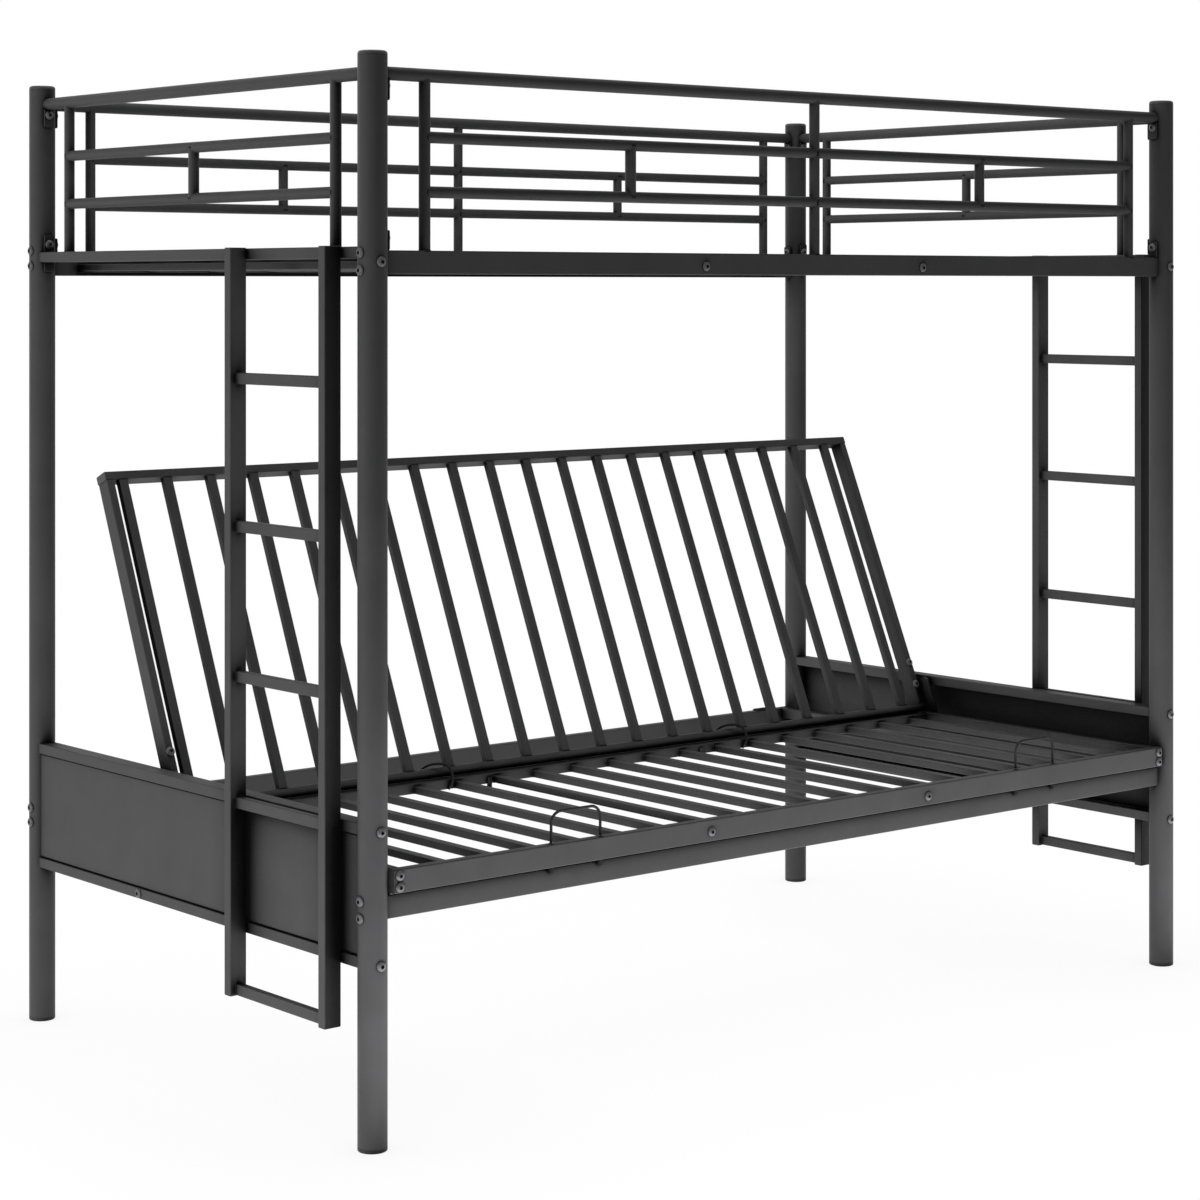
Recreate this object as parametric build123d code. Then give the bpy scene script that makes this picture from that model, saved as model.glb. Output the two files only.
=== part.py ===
from build123d import *
from math import asin, atan2, cos, degrees, hypot, pi, radians, sin
import os

# Bunk bed in powder-coated steel tube: a slatted upper bunk inside guard rails,
# over a futon whose slatted seat slides forward and whose slatted back folds flat.
# X runs along the length to the right, Y to the back, Z up, in millimetres.
# The origin is on the floor, midway between the four posts.

# Posts
post_height = 1740.0
post_spacing_x = 1942.0
post_spacing_y = 1063.0
post_diameter = 48.0
post_wall = 1.5
cap_lip = 7.0
cap_edge = 4.5
cap_stub = 16.0
cap_rib = 3.0
cap_sides = 24

# Fits shared by the whole bed
weld_gap = 0.1
running_gap = 0.3
shank_gap = 0.06
overrun = 6.0
post_sides = 16
outer_sides = 12
bore_sides = 6
wire_sides = 6

# Rectangular tube: narrow side, wide side, wall and outer corner, and the depth of its end plugs
rail_narrow = 19.0
rail_tall = 38.0
end_rail_wide = 32.0
rail_wall = 1.2
rail_corner = 2.0
slat_wide = 19.0
slat_thick = 12.7
slat_wall = 1.0
plug_depth = 5.0

# Round tube and wire
guard_top_diameter = 22.0
guard_diameter = 19.0
guard_wall = 1.2
wire_diameter = 5.0

# Button-head bolts that join rails, tie bars and hinge plates on flat faces
bolt_diameter = 6.0
bolt_head_diameter = 17.0
bolt_head_height = 4.0
bolt_head_sides = 8
bolt_reach = 12.0

# Upper bunk, set down from the tops of the posts
bunk_drop = 316.0
end_rail_lift = 6.0
deck_drop = 16.5
tab_wide = 20.0
tab_thick = 3.0
tab_rise = 32.0
tab_drop = 18.0
deck_slats = 14
deck_end_gap = 70.0
ledge_leg = 20.0
ledge_drop = 8.0
ledge_thick = 2.0
tie_bar_spacing = 540.0

# Guards
guard_top_drop = 35.0
guard_rail_shares = (0.648, 0.3345)
guard_upright_inset = 102.0
guard_tab_height = 32.0

# Closed lower ends
panel_top = 517.0
panel_bottom = 287.0
sheet_recess = 2.7
sheet_thick = 1.2
sheet_flange = 18.0
panel_bolt_y = 157.0

# Fixed lower rails, runners and the pads that the futon slides and rests on
lower_rail_top = 402.0
runner_wide = 26.0
runner_leg = 22.0
runner_thick = 2.0
glide_thick = 2.7
glide_length = 60.0
rest_pad_thick = 3.4
rest_pad_length = 40.0
rest_pad_inset = 60.0

# Ladders
ladder_foot = 187.0
ladder_centre = -320.25
ladder_width = 295.5
rung_recess = 10.3
rung_tops = (1223.0, 976.5, 727.0, 517.0, 206.0)

# Futon seat
seat_top = 443.0
seat_end_gap = 3.0
seat_rise = 3.0
seat_front_set_back = 0.5
seat_rear_top = 440.0
seat_rear_wide = 38.0
seat_rear_inset = 6.0
seat_slat_drop = 8.5
seat_tie_tall = 25.0
seat_bolt_spacing = 18.4
bar_count = 20
bar_pitch = 94.1
bar_shift = -14.5

# Futon back, hinged on the seat and drawn leaning as it stands
pivot_y = 101.5
pivot_z = 450.0
lean = 23.75
back_length = 629.3
back_narrow = 16.0
back_deep = 32.0
back_face = 6.85
pivot_tube_diameter = 19.0
side_bar_clear = 11.0
lug_bolt_ups = (51.0, 100.0)
lug_stub = 112.0
lug_clear = 1.0

# Hinge plates with their arc slots
plate_thick = 4.0
plate_front = 35.0
plate_tall = 60.0
plate_foot = 80.0
plate_corner = 8.0
plate_bolt_inset = 14.0
slot_reach = 38.0
slot_margin = 8.0
recline = 68.0
pin_diameter = 8.0
pin_head_diameter = 17.0
pin_head_height = 3.5
pin_depth = 12.0
head_sides = 12
head_taper = 30.0

# Wire hoops on the seat's front rail, and hooks over the back's lower tube
hoop_places = (-566.5, 573.5)
hoop_width = 111.0
hoop_height = 55.0
hoop_bend = 20.0
hoop_tail = 8.0
hook_place = 375.0
hook_run_x = 40.0
hook_bend = 17.0
hook_clear = 1.0

half_x = post_spacing_x / 2
half_y = post_spacing_y / 2
post_radius = post_diameter / 2
side_rail_top = post_height - bunk_drop
end_rail_top = side_rail_top + end_rail_lift
deck_top = side_rail_top - deck_drop
guard_top_height = post_height - guard_top_drop
guard_rise = guard_top_height - side_rail_top
guard_rail_heights = [side_rail_top + share * guard_rise for share in guard_rail_shares]
tie_bar_x = tie_bar_spacing / 2
ends = (-1, 1)


def flat_cornered(width, height, corner):
    """Rectangle whose small corner radii are drawn as flats."""
    return chamfer(Rectangle(width, height).vertices(), corner)


def box_section(width, height):
    """Hollow rectangular rail tube."""
    bore = Rectangle(width - 2 * rail_wall, height - 2 * rail_wall)
    return flat_cornered(width, height, rail_corner) - bore


def slat_section(width, height):
    """Small hollow rectangular tube."""
    return Rectangle(width, height) - Rectangle(width - 2 * slat_wall, height - 2 * slat_wall)


def many_sided(diameter, sides):
    """Polygon that stands in for a circle: its flats and corners lie either side of the round."""
    corner = diameter / 2 / cos(pi / (2 * sides))
    return Rot(0, 0, 180 / sides) * RegularPolygon(corner, sides)


def guard_section(diameter):
    """Hollow guard tube, which repeats so often that flats stand in for its round."""
    return many_sided(diameter, outer_sides) - many_sided(diameter - 2 * guard_wall, bore_sides)


def bar(section, start, end, side=(0, 0, 1)):
    """Straight piece of the given section from start to end, its width along side."""
    run = Vector(*end) - Vector(*start)
    return extrude(Plane(start, x_dir=side, z_dir=run.normalized()) * section, amount=run.length)


def block(low, high):
    """Box between two opposite corners."""
    size = [b - a for a, b in zip(low, high)]
    return Pos(*low) * Box(*size, align=(Align.MIN, Align.MIN, Align.MIN))


def rod(start, end, diameter):
    """Plain round bar from start to end."""
    return bar(Circle(diameter / 2), start, end, side=(0, 1, 0) if start[0] != end[0] else (1, 0, 0))


def solids_of(shapes):
    """Flat list of the separate solids in a list of shapes."""
    return [solid for shape in shapes for solid in shape.solids()]


def bolt_seat(place, out, side):
    """Plane of the face that a bolt's head lies on, looking out of the piece."""
    return Plane(place, x_dir=side, z_dir=out)


def make_bolt(place, out, side, grip):
    """Button-head bolt: a low tapered head on the face, and a shank that runs in by grip."""
    seat = bolt_seat(place, out, side)
    outline = many_sided(bolt_head_diameter, bolt_head_sides)
    head = extrude(seat * outline, amount=bolt_head_height, taper=head_taper)
    return head + extrude(seat * many_sided(bolt_diameter, wire_sides), amount=-grip)


def bolt_hole(place, out, side, grip):
    """What a bolt's shank needs, from outside the face to past the shank's end."""
    seat = bolt_seat(place, out, side) * Pos(0, 0, overrun)
    return extrude(seat * many_sided(bolt_diameter + 2 * weld_gap, wire_sides), amount=-grip - 2 * overrun)


# What stands where the posts are, with the gap that a welded or bolted end leaves, in flats
# that lie just outside the round
post_space = RegularPolygon((post_radius + weld_gap) / cos(pi / post_sides), post_sides)
post_spaces = Part() + [
    Pos(x * half_x, y * half_y, 0) * extrude(post_space, amount=post_height) for x in ends for y in ends
]
reach_x = half_x - post_radius - weld_gap
reach_y = half_y - post_radius - weld_gap


def along_x(section, y, z):
    """Square-ended rail from post to post, parallel to X."""
    return bar(section, (-reach_x, y, z), (reach_x, y, z))


def across_end(section, x, z):
    """Wide rail from post to post, parallel to Y, its ends coped to the round posts."""
    return bar(section, (x, -half_y, z), (x, half_y, z)) - post_spaces


def post_tab(along, x, y, low, high):
    """Flat plate lying on the inward face of one post, where a rail's end is bolted."""
    face = post_radius + weld_gap
    if along == "x":
        inner, outer = x * (half_x - face - tab_thick), x * (half_x - face)
        return block(
            (min(inner, outer), y * half_y - tab_wide / 2, low),
            (max(inner, outer), y * half_y + tab_wide / 2, high),
        )
    inner, outer = y * (half_y - face - tab_thick), y * (half_y - face)
    return block(
        (x * half_x - tab_wide / 2, min(inner, outer), low),
        (x * half_x + tab_wide / 2, max(inner, outer), high),
    )


def make_post(x, y):
    """Round tube that stands on its foot plug and is closed by its top plug."""
    wall = Circle(post_radius) - many_sided(2 * (post_radius - post_wall), post_sides)
    tube = extrude(wall, amount=post_height - 2 * cap_lip)
    return Pos(x * half_x, y * half_y, cap_lip) * tube


def make_plug(edge):
    """Moulded plug for a post's end: a lip, bevelled by edge, and crossed ribs in the bore."""
    lip = extrude(many_sided(post_diameter, cap_sides), amount=cap_lip)
    if edge:
        lip = chamfer(lip.faces().sort_by(Axis.Z)[-1].edges(), edge)
    across = 2 * ((post_radius - post_wall) * cos(pi / post_sides) - weld_gap)
    rib = Box(across, cap_rib, cap_stub, align=(Align.CENTER, Align.CENTER, Align.MAX))
    return lip + rib + Rot(0, 0, 90) * rib


def tie_bar_bolts(y):
    """Places of the two bolts through an upper side rail into the deck's tie bars."""
    face = y * (half_y + rail_narrow / 2)
    height = deck_top - slat_thick / 2
    return [((x * tie_bar_x, face, height), (0, y, 0), (1, 0, 0), rail_narrow + bolt_reach) for x in ends]


def make_upper_side_rail(y):
    """Deep rail from post to post, with a bolting tab standing on each end."""
    middle = side_rail_top - rail_tall / 2
    rail = along_x(box_section(rail_tall, rail_narrow), y * half_y, middle)
    for bolt in tie_bar_bolts(y):
        rail -= bolt_hole(*bolt)
    tabs = [post_tab("x", x, y, side_rail_top, side_rail_top + tab_rise) for x in ends]
    return [rail] + tabs


def make_upper_end_rail(x):
    """Flat rail across the end, with tabs above and below it at each post."""
    middle = end_rail_top - rail_narrow / 2
    section = box_section(rail_narrow, end_rail_wide)
    rail = across_end(section, x * half_x, middle)
    low = end_rail_top - rail_narrow
    tabs = [post_tab("y", x, y, end_rail_top, end_rail_top + tab_rise) for y in ends]
    tabs += [post_tab("y", x, y, low - tab_drop, low) for y in ends]
    return [rail] + tabs


def make_guard(along, offset, uprights, foot):
    """Welded guard: a top tube, uprights on the rail, and two thinner rails in each bay."""

    def tube(diameter, start, end):
        first, last = [(run, offset, z) if along == "x" else (offset, run, z) for run, z in (start, end)]
        upright_side = (0, 1, 0) if along == "x" else (1, 0, 0)
        return bar(guard_section(diameter), first, last, (0, 0, 1) if start[1] == end[1] else upright_side)

    reach = reach_x if along == "x" else reach_y
    under = guard_top_height - guard_top_diameter / 2
    gap = guard_diameter / 2
    upper, lower = guard_rail_heights
    pieces = [tube(guard_top_diameter, (-reach, guard_top_height), (reach, guard_top_height))]
    pieces += [tube(guard_diameter, (run, foot), (run, under)) for run in uprights]
    for first, last in zip(uprights, uprights[1:]):
        for height in guard_rail_heights:
            pieces.append(tube(guard_diameter, (first + gap, height), (last - gap, height)))
        middle = (first + last) / 2
        pieces.append(tube(guard_diameter, (middle, lower + gap), (middle, upper - gap)))
    corner = offset / abs(offset)
    for end in ends:
        x, y = (end, corner) if along == "x" else (corner, end)
        pieces.append(post_tab(along, x, y, under - guard_tab_height, under))
    return pieces


def make_deck_ledges():
    """Angle strips along the inner faces of the side rails, under the ends of the slats."""
    pieces = []
    face = half_y - rail_narrow / 2
    length = post_spacing_x - 2 * deck_end_gap
    low = deck_top - slat_thick
    for y in ends:
        leg = sorted((y * face, y * (face - ledge_thick)))
        shelf = sorted((y * face, y * (face - ledge_leg)))
        angle = block((-length / 2, leg[0], low - ledge_drop), (length / 2, leg[1], low))
        angle += block((-length / 2, shelf[0], low - ledge_thick), (length / 2, shelf[1], low))
        pieces.append(angle)
    return pieces


def make_deck_slats():
    """Slats across the upper bunk, lying on the ledges, clear of the two bolted bars."""
    face = half_y - rail_narrow / 2 - weld_gap
    middle = deck_top - slat_thick / 2
    reach = half_x - deck_end_gap - slat_wide / 2
    pitch = 2 * reach / (deck_slats - 1)
    places = [-reach + pitch * k for k in range(deck_slats)]
    section = slat_section(slat_thick, slat_wide)
    return [bar(section, (x, -face, middle), (x, face, middle)) for x in places]


def make_deck_tie_bars():
    """Two wider bars bolted between the side rails, level with the slats."""
    face = half_y - rail_narrow / 2 - weld_gap
    middle = deck_top - slat_thick / 2
    section = box_section(slat_thick, end_rail_wide)
    return [
        bar(section, (x * tie_bar_x, -face, middle), (x * tie_bar_x, face, middle)) for x in ends
    ]


def panel_bolt(x):
    """Place of the bolt in the outer face of a closed end's bottom rail."""
    face = x * (half_x + end_rail_wide / 2)
    return ((face, panel_bolt_y, panel_bottom + rail_narrow / 2), (x, 0, 0), (0, 1, 0), bolt_reach)


def make_panel_frame(x):
    """Top and bottom rails of a closed lower end."""
    section = box_section(rail_narrow, end_rail_wide)
    top = across_end(section, x * half_x, panel_top - rail_narrow / 2)
    bottom = across_end(section, x * half_x, panel_bottom + rail_narrow / 2) - bolt_hole(*panel_bolt(x))
    return [top, bottom]


def make_panel_sheet(x):
    """Folded sheet between the rails, set back from their outer faces."""
    low, high = panel_bottom + rail_narrow, panel_top - rail_narrow
    outer = half_x + end_rail_wide / 2 - sheet_recess
    profile = Pos(outer - sheet_thick / 2, (low + high) / 2) * Rectangle(sheet_thick, high - low)
    for edge in (low + sheet_thick / 2, high - sheet_thick / 2):
        profile += Pos(outer - sheet_flange / 2, edge) * Rectangle(sheet_flange, sheet_thick)
    run = extrude(Plane.XZ * profile, amount=half_y, both=True)
    sheet = run - post_spaces
    return [sheet if x > 0 else mirror(sheet, Plane.YZ)]


def make_lower_rail(y):
    """Fixed rail from post to post under the futon."""
    middle = lower_rail_top - rail_tall / 2
    return [along_x(box_section(rail_tall, rail_narrow), y * half_y, middle)]


seat_half = half_x - post_radius - seat_end_gap
seat_bottom = seat_top - rail_tall
seat_front = -half_y - post_radius + seat_front_set_back
seat_inner = seat_half - rail_narrow
rear_back = pivot_y + seat_rear_wide / 2 - seat_rear_inset - 2 * running_gap
rear_front = rear_back - seat_rear_wide
side_rail_rear = pivot_y - pivot_tube_diameter / 2 - lug_clear


def make_runner(x):
    """Angle from the front fixed rail to the rear one, which carries the seat's side rail."""
    outer = seat_half
    inner = outer - runner_wide
    reach = half_y - rail_narrow / 2
    low = lower_rail_top - runner_leg
    angle = block((inner, -reach, lower_rail_top - runner_thick), (outer, reach, lower_rail_top))
    angle += block((inner, -reach, low), (inner + runner_thick, reach, lower_rail_top))
    return [angle if x > 0 else mirror(angle, Plane.YZ)]


def make_front_glides():
    """Slippery strips on the front fixed rail, under the seat's side rails."""
    low, high = -half_y - rail_narrow / 2, -half_y + rail_narrow / 2
    strip = block((seat_inner, low, lower_rail_top), (seat_half, high, lower_rail_top + glide_thick))
    return [strip, mirror(strip, Plane.YZ)]


def make_rest_pads():
    """Rubber pads on the rear fixed rail, where the unfolded back comes down."""
    outer = seat_half - rest_pad_inset
    low, high = half_y - rail_narrow / 2, half_y + rail_narrow / 2
    pad = block(
        (outer - rest_pad_length, low, lower_rail_top), (outer, high, lower_rail_top + rest_pad_thick)
    )
    return [pad, mirror(pad, Plane.YZ)]


def make_ladder(x):
    """Two stiles on the outer faces of the end rails, with rungs set back between them."""
    stile = box_section(end_rail_wide, rail_narrow)
    rung = slat_section(slat_wide, slat_thick)
    face = half_x + end_rail_wide / 2
    middle = face + end_rail_wide / 2
    half = (ladder_width - rail_narrow) / 2
    pieces = []
    for y in ends:
        place = ladder_centre + y * half
        pieces.append(
            bar(stile, (x * middle, place, ladder_foot), (x * middle, place, end_rail_top), side=(1, 0, 0))
        )
    rung_x = x * (face + end_rail_wide - rung_recess - slat_thick / 2)
    reach = half - rail_narrow / 2
    for top in rung_tops:
        height = top - slat_wide / 2
        pieces.append(
            bar(rung, (rung_x, ladder_centre - reach, height), (rung_x, ladder_centre + reach, height))
        )
    return pieces


def bar_places():
    """Places along X that the seat's slats and the back's bars share."""
    first = bar_shift - bar_pitch * (bar_count - 1) / 2
    return [first + bar_pitch * k for k in range(bar_count)]


def seat_bolts():
    """Places of the bolts through the seat's front rail into its side rails and tie bars."""
    middle = seat_top - rail_tall / 2
    places = []
    for x in ends:
        side_x = x * (seat_half - rail_narrow / 2)
        places += [(side_x, middle + way * seat_bolt_spacing / 2) for way in ends]
        places.append((x * tie_bar_x, seat_top - seat_slat_drop - seat_tie_tall / 2))
    return [((x, seat_front, z), (0, -1, 0), (1, 0, 0), rail_narrow + bolt_reach) for x, z in places]


def make_seat_front_rail():
    """Front rail of the seat, drilled through for its bolts and for the feet of the wire hoops."""
    middle_y = seat_front + rail_narrow / 2
    section = box_section(rail_tall, rail_narrow)
    middle_z = seat_top - rail_tall / 2
    rail = bar(section, (-seat_half, middle_y, middle_z), (seat_half, middle_y, middle_z))
    hole = many_sided(wire_diameter + 2 * weld_gap, wire_sides)
    for middle in hoop_places:
        for side in ends:
            place = middle + side * (hoop_width - wire_diameter) / 2
            low, high = (place, middle_y, seat_bottom - overrun), (place, middle_y, seat_top + overrun)
            rail -= bar(hole, low, high, side=(1, 0, 0))
    for bolt in seat_bolts():
        rail -= bolt_hole(*bolt)
    return [rail]


def hinge_bolts(x):
    """Places of the two bolts through a hinge plate into the seat's side rail."""
    face = x * (seat_half + plate_thick)
    places = (side_rail_rear - plate_foot + plate_bolt_inset, side_rail_rear - plate_bolt_inset)
    grip = plate_thick + bolt_reach
    return [((face, y, seat_top - rail_tall / 2), (x, 0, 0), (0, 1, 0), grip) for y in places]


def make_seat_side_rail(x):
    """Side rail of the seat, from the front rail back to the hinge."""
    place = x * (seat_half - rail_narrow / 2)
    middle_z = seat_top - rail_tall / 2
    section = box_section(rail_tall, rail_narrow)
    rear = side_rail_rear
    rail = bar(section, (place, seat_front + rail_narrow, middle_z), (place, rear, middle_z))
    for bolt in hinge_bolts(x):
        rail -= bolt_hole(*bolt)
    return [rail]


def make_seat_rear_rail():
    """Flat rear rail of the seat, between the side rails, under the back's lower tube."""
    middle_y = (rear_front + rear_back) / 2
    middle_z = seat_rear_top - rail_narrow / 2
    section = box_section(rail_narrow, seat_rear_wide)
    return [bar(section, (-seat_inner, middle_y, middle_z), (seat_inner, middle_y, middle_z))]


def make_seat_slats():
    """Slats of the seat, from its front rail to its rear rail."""
    middle = seat_top - seat_slat_drop - slat_thick / 2
    front = seat_front + rail_narrow
    section = slat_section(slat_thick, slat_wide)
    return [bar(section, (x, front, middle), (x, rear_front, middle)) for x in bar_places()]


def make_seat_tie_bars():
    """Two bars bolted between the seat's front and rear rails, level with the slats."""
    top = seat_top - seat_slat_drop
    front = seat_front + rail_narrow
    section = box_section(seat_tie_tall, rail_narrow)
    middle = top - seat_tie_tall / 2
    return [
        bar(section, (x * tie_bar_x, front, middle), (x * tie_bar_x, rear_front, middle))
        for x in ends
    ]


def make_rear_glides():
    """Slippery blocks under the rear ends of the seat's side rails, riding on the runners."""
    rear = side_rail_rear
    block_low = seat_bottom - glide_thick
    glide = block((seat_inner, rear - glide_length, block_low), (seat_half, rear, seat_bottom))
    return [glide, mirror(glide, Plane.YZ)]


def wire(points, bends):
    """Wire along straight runs joined by arcs, drawn with a few flats round it."""
    path = FilletPolyline(*points, radius=bends)
    return sweep(Plane(path @ 0, z_dir=path % 0) * many_sided(wire_diameter, wire_sides), path)


def make_hoops():
    """Bent-wire hoops that keep the mattress from sliding off the seat's front rail."""
    y = seat_front + rail_narrow / 2
    half = (hoop_width - wire_diameter) / 2
    low, high = seat_bottom - hoop_tail, seat_top + hoop_height - wire_diameter / 2
    pieces = []
    for place in hoop_places:
        left, right = place - half, place + half
        pieces.append(wire([(left, y, low), (left, y, high), (right, y, high), (right, y, low)], hoop_bend))
    return pieces


back_up = Vector(0, sin(radians(lean)), cos(radians(lean)))
back_out = Vector(0, cos(radians(lean)), -sin(radians(lean)))
pivot = Vector(0, pivot_y, pivot_z)


def on_back(x, up, out):
    """Point of the back frame: up its slope and out behind it, from the hinge line."""
    return Vector(x, 0, 0) + pivot + back_up * up + back_out * out


def make_hooks():
    """Wire hooks welded to the seat's rear rail, bent over the back's lower tube to hold it down."""
    radius = wire_diameter / 2
    front = rear_front + wire_diameter
    tip = pivot_z + pivot_tube_diameter / 2 + hook_clear + radius
    crest = tip + hook_bend
    pieces = []
    for x in ends:
        place = x * hook_place
        over = place - hook_run_x
        rise = [(place, front, seat_rear_top), (place, front, crest)]
        fall = [(over, pivot_y, crest), (over, pivot_y, tip)]
        pieces.append(wire(rise + fall, hook_bend - radius))
    return pieces


def slot_angles():
    """Slope of the stop pin at rest, from straight up towards the back, and its radius."""
    across = back_deep / 2 - back_face
    return lean + degrees(atan2(across, slot_reach)), hypot(slot_reach, across)


def make_hinge_plate(x):
    """Plate on the seat's side rail with the pivot hole and the arc slot that limits the back."""
    begin, reach = slot_angles()
    outer = reach + pin_diameter / 2 + slot_margin
    slot_half = pin_diameter / 2 + running_gap

    def turned(radius, angle):
        return (pivot_y + radius * sin(radians(angle)), pivot_z + radius * cos(radians(angle)))

    def place(up, out):
        point = on_back(0, up, out)
        return (point.Y, point.Z)

    spare = degrees(asin((slot_half + slot_margin) / reach))
    first, last = begin - spare, begin + recline + spare
    sector = make_face(
        [
            Line((pivot_y, pivot_z), turned(outer, first)),
            ThreePointArc(
                turned(outer, first), turned(outer, (first + last) / 2), turned(outer, last)
            ),
            Line(turned(outer, last), (pivot_y, pivot_z)),
        ]
    )
    rear = side_rail_rear
    guard = make_face(
        Polyline(
            place(0, plate_corner),
            place(plate_tall, -back_face),
            place(plate_tall, -plate_front + plate_corner),
            place(plate_tall - plate_corner, -plate_front),
            (place(0, -plate_front)[0] - plate_corner, seat_top),
            (rear - plate_foot, seat_top),
            (rear - plate_foot, seat_bottom),
            (rear, seat_bottom),
            (rear, pivot_z),
            close=True,
        )
    )
    boss = Pos(pivot_y, pivot_z) * Circle(pin_diameter / 2 + slot_margin)
    inner_arc = ThreePointArc(
        turned(reach, begin), turned(reach, begin + recline / 2), turned(reach, begin + recline)
    )
    slot = SlotArc(inner_arc, 2 * slot_half)
    hole = Pos(pivot_y, pivot_z) * Circle(pin_diameter / 2 + shank_gap)
    outline = sector + guard + boss - slot - hole
    inner = seat_half
    plate = extrude(Plane((inner, 0, 0), x_dir=(0, 1, 0), z_dir=(1, 0, 0)) * outline, amount=plate_thick)
    for bolt in hinge_bolts(1):
        plate -= bolt_hole(*bolt)
    return [plate if x > 0 else mirror(plate, Plane.YZ)]


def make_pins(up, out):
    """Shouldered pins through the side bars, one each side, with low domed heads outside."""
    centre = on_back(0, up, out)
    head_start = seat_half + plate_thick + running_gap
    shank = rod(
        (seat_half - pin_depth, centre.Y, centre.Z), (head_start, centre.Y, centre.Z), pin_diameter
    )
    seat = Plane((head_start, centre.Y, centre.Z), x_dir=(0, 1, 0), z_dir=(1, 0, 0))
    head = extrude(seat * many_sided(pin_head_diameter, head_sides), amount=pin_head_height, taper=head_taper)
    pin = shank + head
    return [pin, mirror(pin, Plane.YZ)]


def side_hole(start, stop, up, out, diameter):
    """Round hole along X through the right side of the hinge, between two places."""
    centre = on_back(0, up, out)
    return rod((start, centre.Y, centre.Z), (stop, centre.Y, centre.Z), diameter)


def lug_bolts(x):
    """Places of the two bolts through a side bar's front face into the hinge lug's stub."""
    middle_x = x * (seat_half - running_gap - back_narrow / 2)
    grip = rail_wall + bolt_reach
    return [(on_back(middle_x, up, -back_face), -back_out, (1, 0, 0), grip) for up in lug_bolt_ups]


def make_back_side_bar(x):
    """Side bar of the back, pushed over its hinge lug and drilled for the pin and the bolts."""
    middle_out = back_deep / 2 - back_face
    middle_x = seat_half - running_gap - back_narrow / 2
    run = bar(
        box_section(back_narrow, back_deep),
        on_back(middle_x, side_bar_clear, middle_out),
        on_back(middle_x, back_length - back_narrow, middle_out),
        side=(1, 0, 0),
    )
    run -= side_hole(middle_x, seat_half + overrun, slot_reach, middle_out, pin_diameter + 2 * shank_gap)
    for bolt in lug_bolts(1):
        run -= bolt_hole(*bolt)
    return [run if x > 0 else mirror(run, Plane.YZ)]


def make_hinge_lug(x):
    """Cast lug: an eye for the pivot pin under a stub that fills the side bar's lower end."""
    inner = seat_half - running_gap - back_narrow
    radius = pivot_tube_diameter / 2
    plane = Plane(on_back(inner, 0, 0), x_dir=back_out, z_dir=(1, 0, 0))
    shoulder = Polyline(
        (-back_face, 0),
        (-back_face, side_bar_clear),
        (back_deep - back_face, side_bar_clear),
        (radius, 0),
        close=True,
    )
    eye = extrude(plane * (Circle(radius) + make_face(shoulder)), amount=back_narrow)
    middle_out = back_deep / 2 - back_face
    inset = 2 * (rail_wall + weld_gap)
    stub = bar(
        Rectangle(back_narrow - inset, back_deep - inset),
        on_back(inner + back_narrow / 2, side_bar_clear, middle_out),
        on_back(inner + back_narrow / 2, lug_stub, middle_out),
        side=(1, 0, 0),
    )
    lug = eye + stub
    lug -= side_hole(inner - overrun, seat_half + overrun, 0, 0, pin_diameter)
    lug -= side_hole(seat_half - pin_depth, seat_half + overrun, slot_reach, middle_out, pin_diameter)
    for bolt in lug_bolts(1):
        lug -= bolt_hole(*bolt)
    return [lug if x > 0 else mirror(lug, Plane.YZ)]


def make_back_top_rail():
    """Top rail of the back, running over the ends of the side bars."""
    reach = seat_half - running_gap
    up = back_length - back_narrow / 2
    out = back_deep / 2 - back_face
    section = box_section(back_narrow, back_deep)
    return [bar(section, on_back(-reach, up, out), on_back(reach, up, out), side=back_up)]


def make_pivot_tube():
    """Round tube along the hinge line, between the two lugs."""
    reach = seat_half - running_gap - back_narrow
    radius = pivot_tube_diameter / 2
    section = Circle(radius) - many_sided(2 * (radius - guard_wall), bore_sides)
    return [bar(section, on_back(-reach, 0, 0), on_back(reach, 0, 0))]


def make_back_bars():
    """Bars up the back, from the round tube to the underside of the top rail."""
    section = slat_section(slat_wide, slat_thick)
    start, stop = pivot_tube_diameter / 2, back_length - back_narrow
    return [bar(section, on_back(x, start, 0), on_back(x, stop, 0), side=(1, 0, 0)) for x in bar_places()]


def make_tube_plugs(width, height, starts):
    """Flat moulded plugs that close rectangular tube ends: start point, direction and side."""
    stub = Rectangle(width - 2 * rail_wall - 2 * weld_gap, height - 2 * rail_wall - 2 * weld_gap)
    pieces = []
    for start, direction, side in starts:
        frame = Plane(start, x_dir=side, z_dir=direction)
        lid = extrude(frame * flat_cornered(width, height, rail_corner), amount=rail_wall)
        pieces.append(lid + extrude(frame * stub, amount=-plug_depth))
    return pieces


def ladder_plug_places(x):
    """Ends of the ladder's stiles, top and bottom."""
    middle = half_x + end_rail_wide
    half = (ladder_width - rail_narrow) / 2
    places = []
    for y in ends:
        place = ladder_centre + y * half
        places.append(((x * middle, place, end_rail_top), (0, 0, 1), (1, 0, 0)))
        places.append(((x * middle, place, ladder_foot), (0, 0, -1), (1, 0, 0)))
    return places


def front_rail_ends():
    """Ends of the seat's front rail."""
    middle = (seat_front + rail_narrow / 2, seat_top - rail_tall / 2)
    return [((x * seat_half, *middle), (x, 0, 0), (0, 0, 1)) for x in ends]


def top_rail_ends():
    """Ends of the back's top rail."""
    up, out = back_length - back_narrow / 2, back_deep / 2 - back_face
    return [(on_back(x * (seat_half - running_gap), up, out), (x, 0, 0), back_up) for x in ends]


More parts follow.
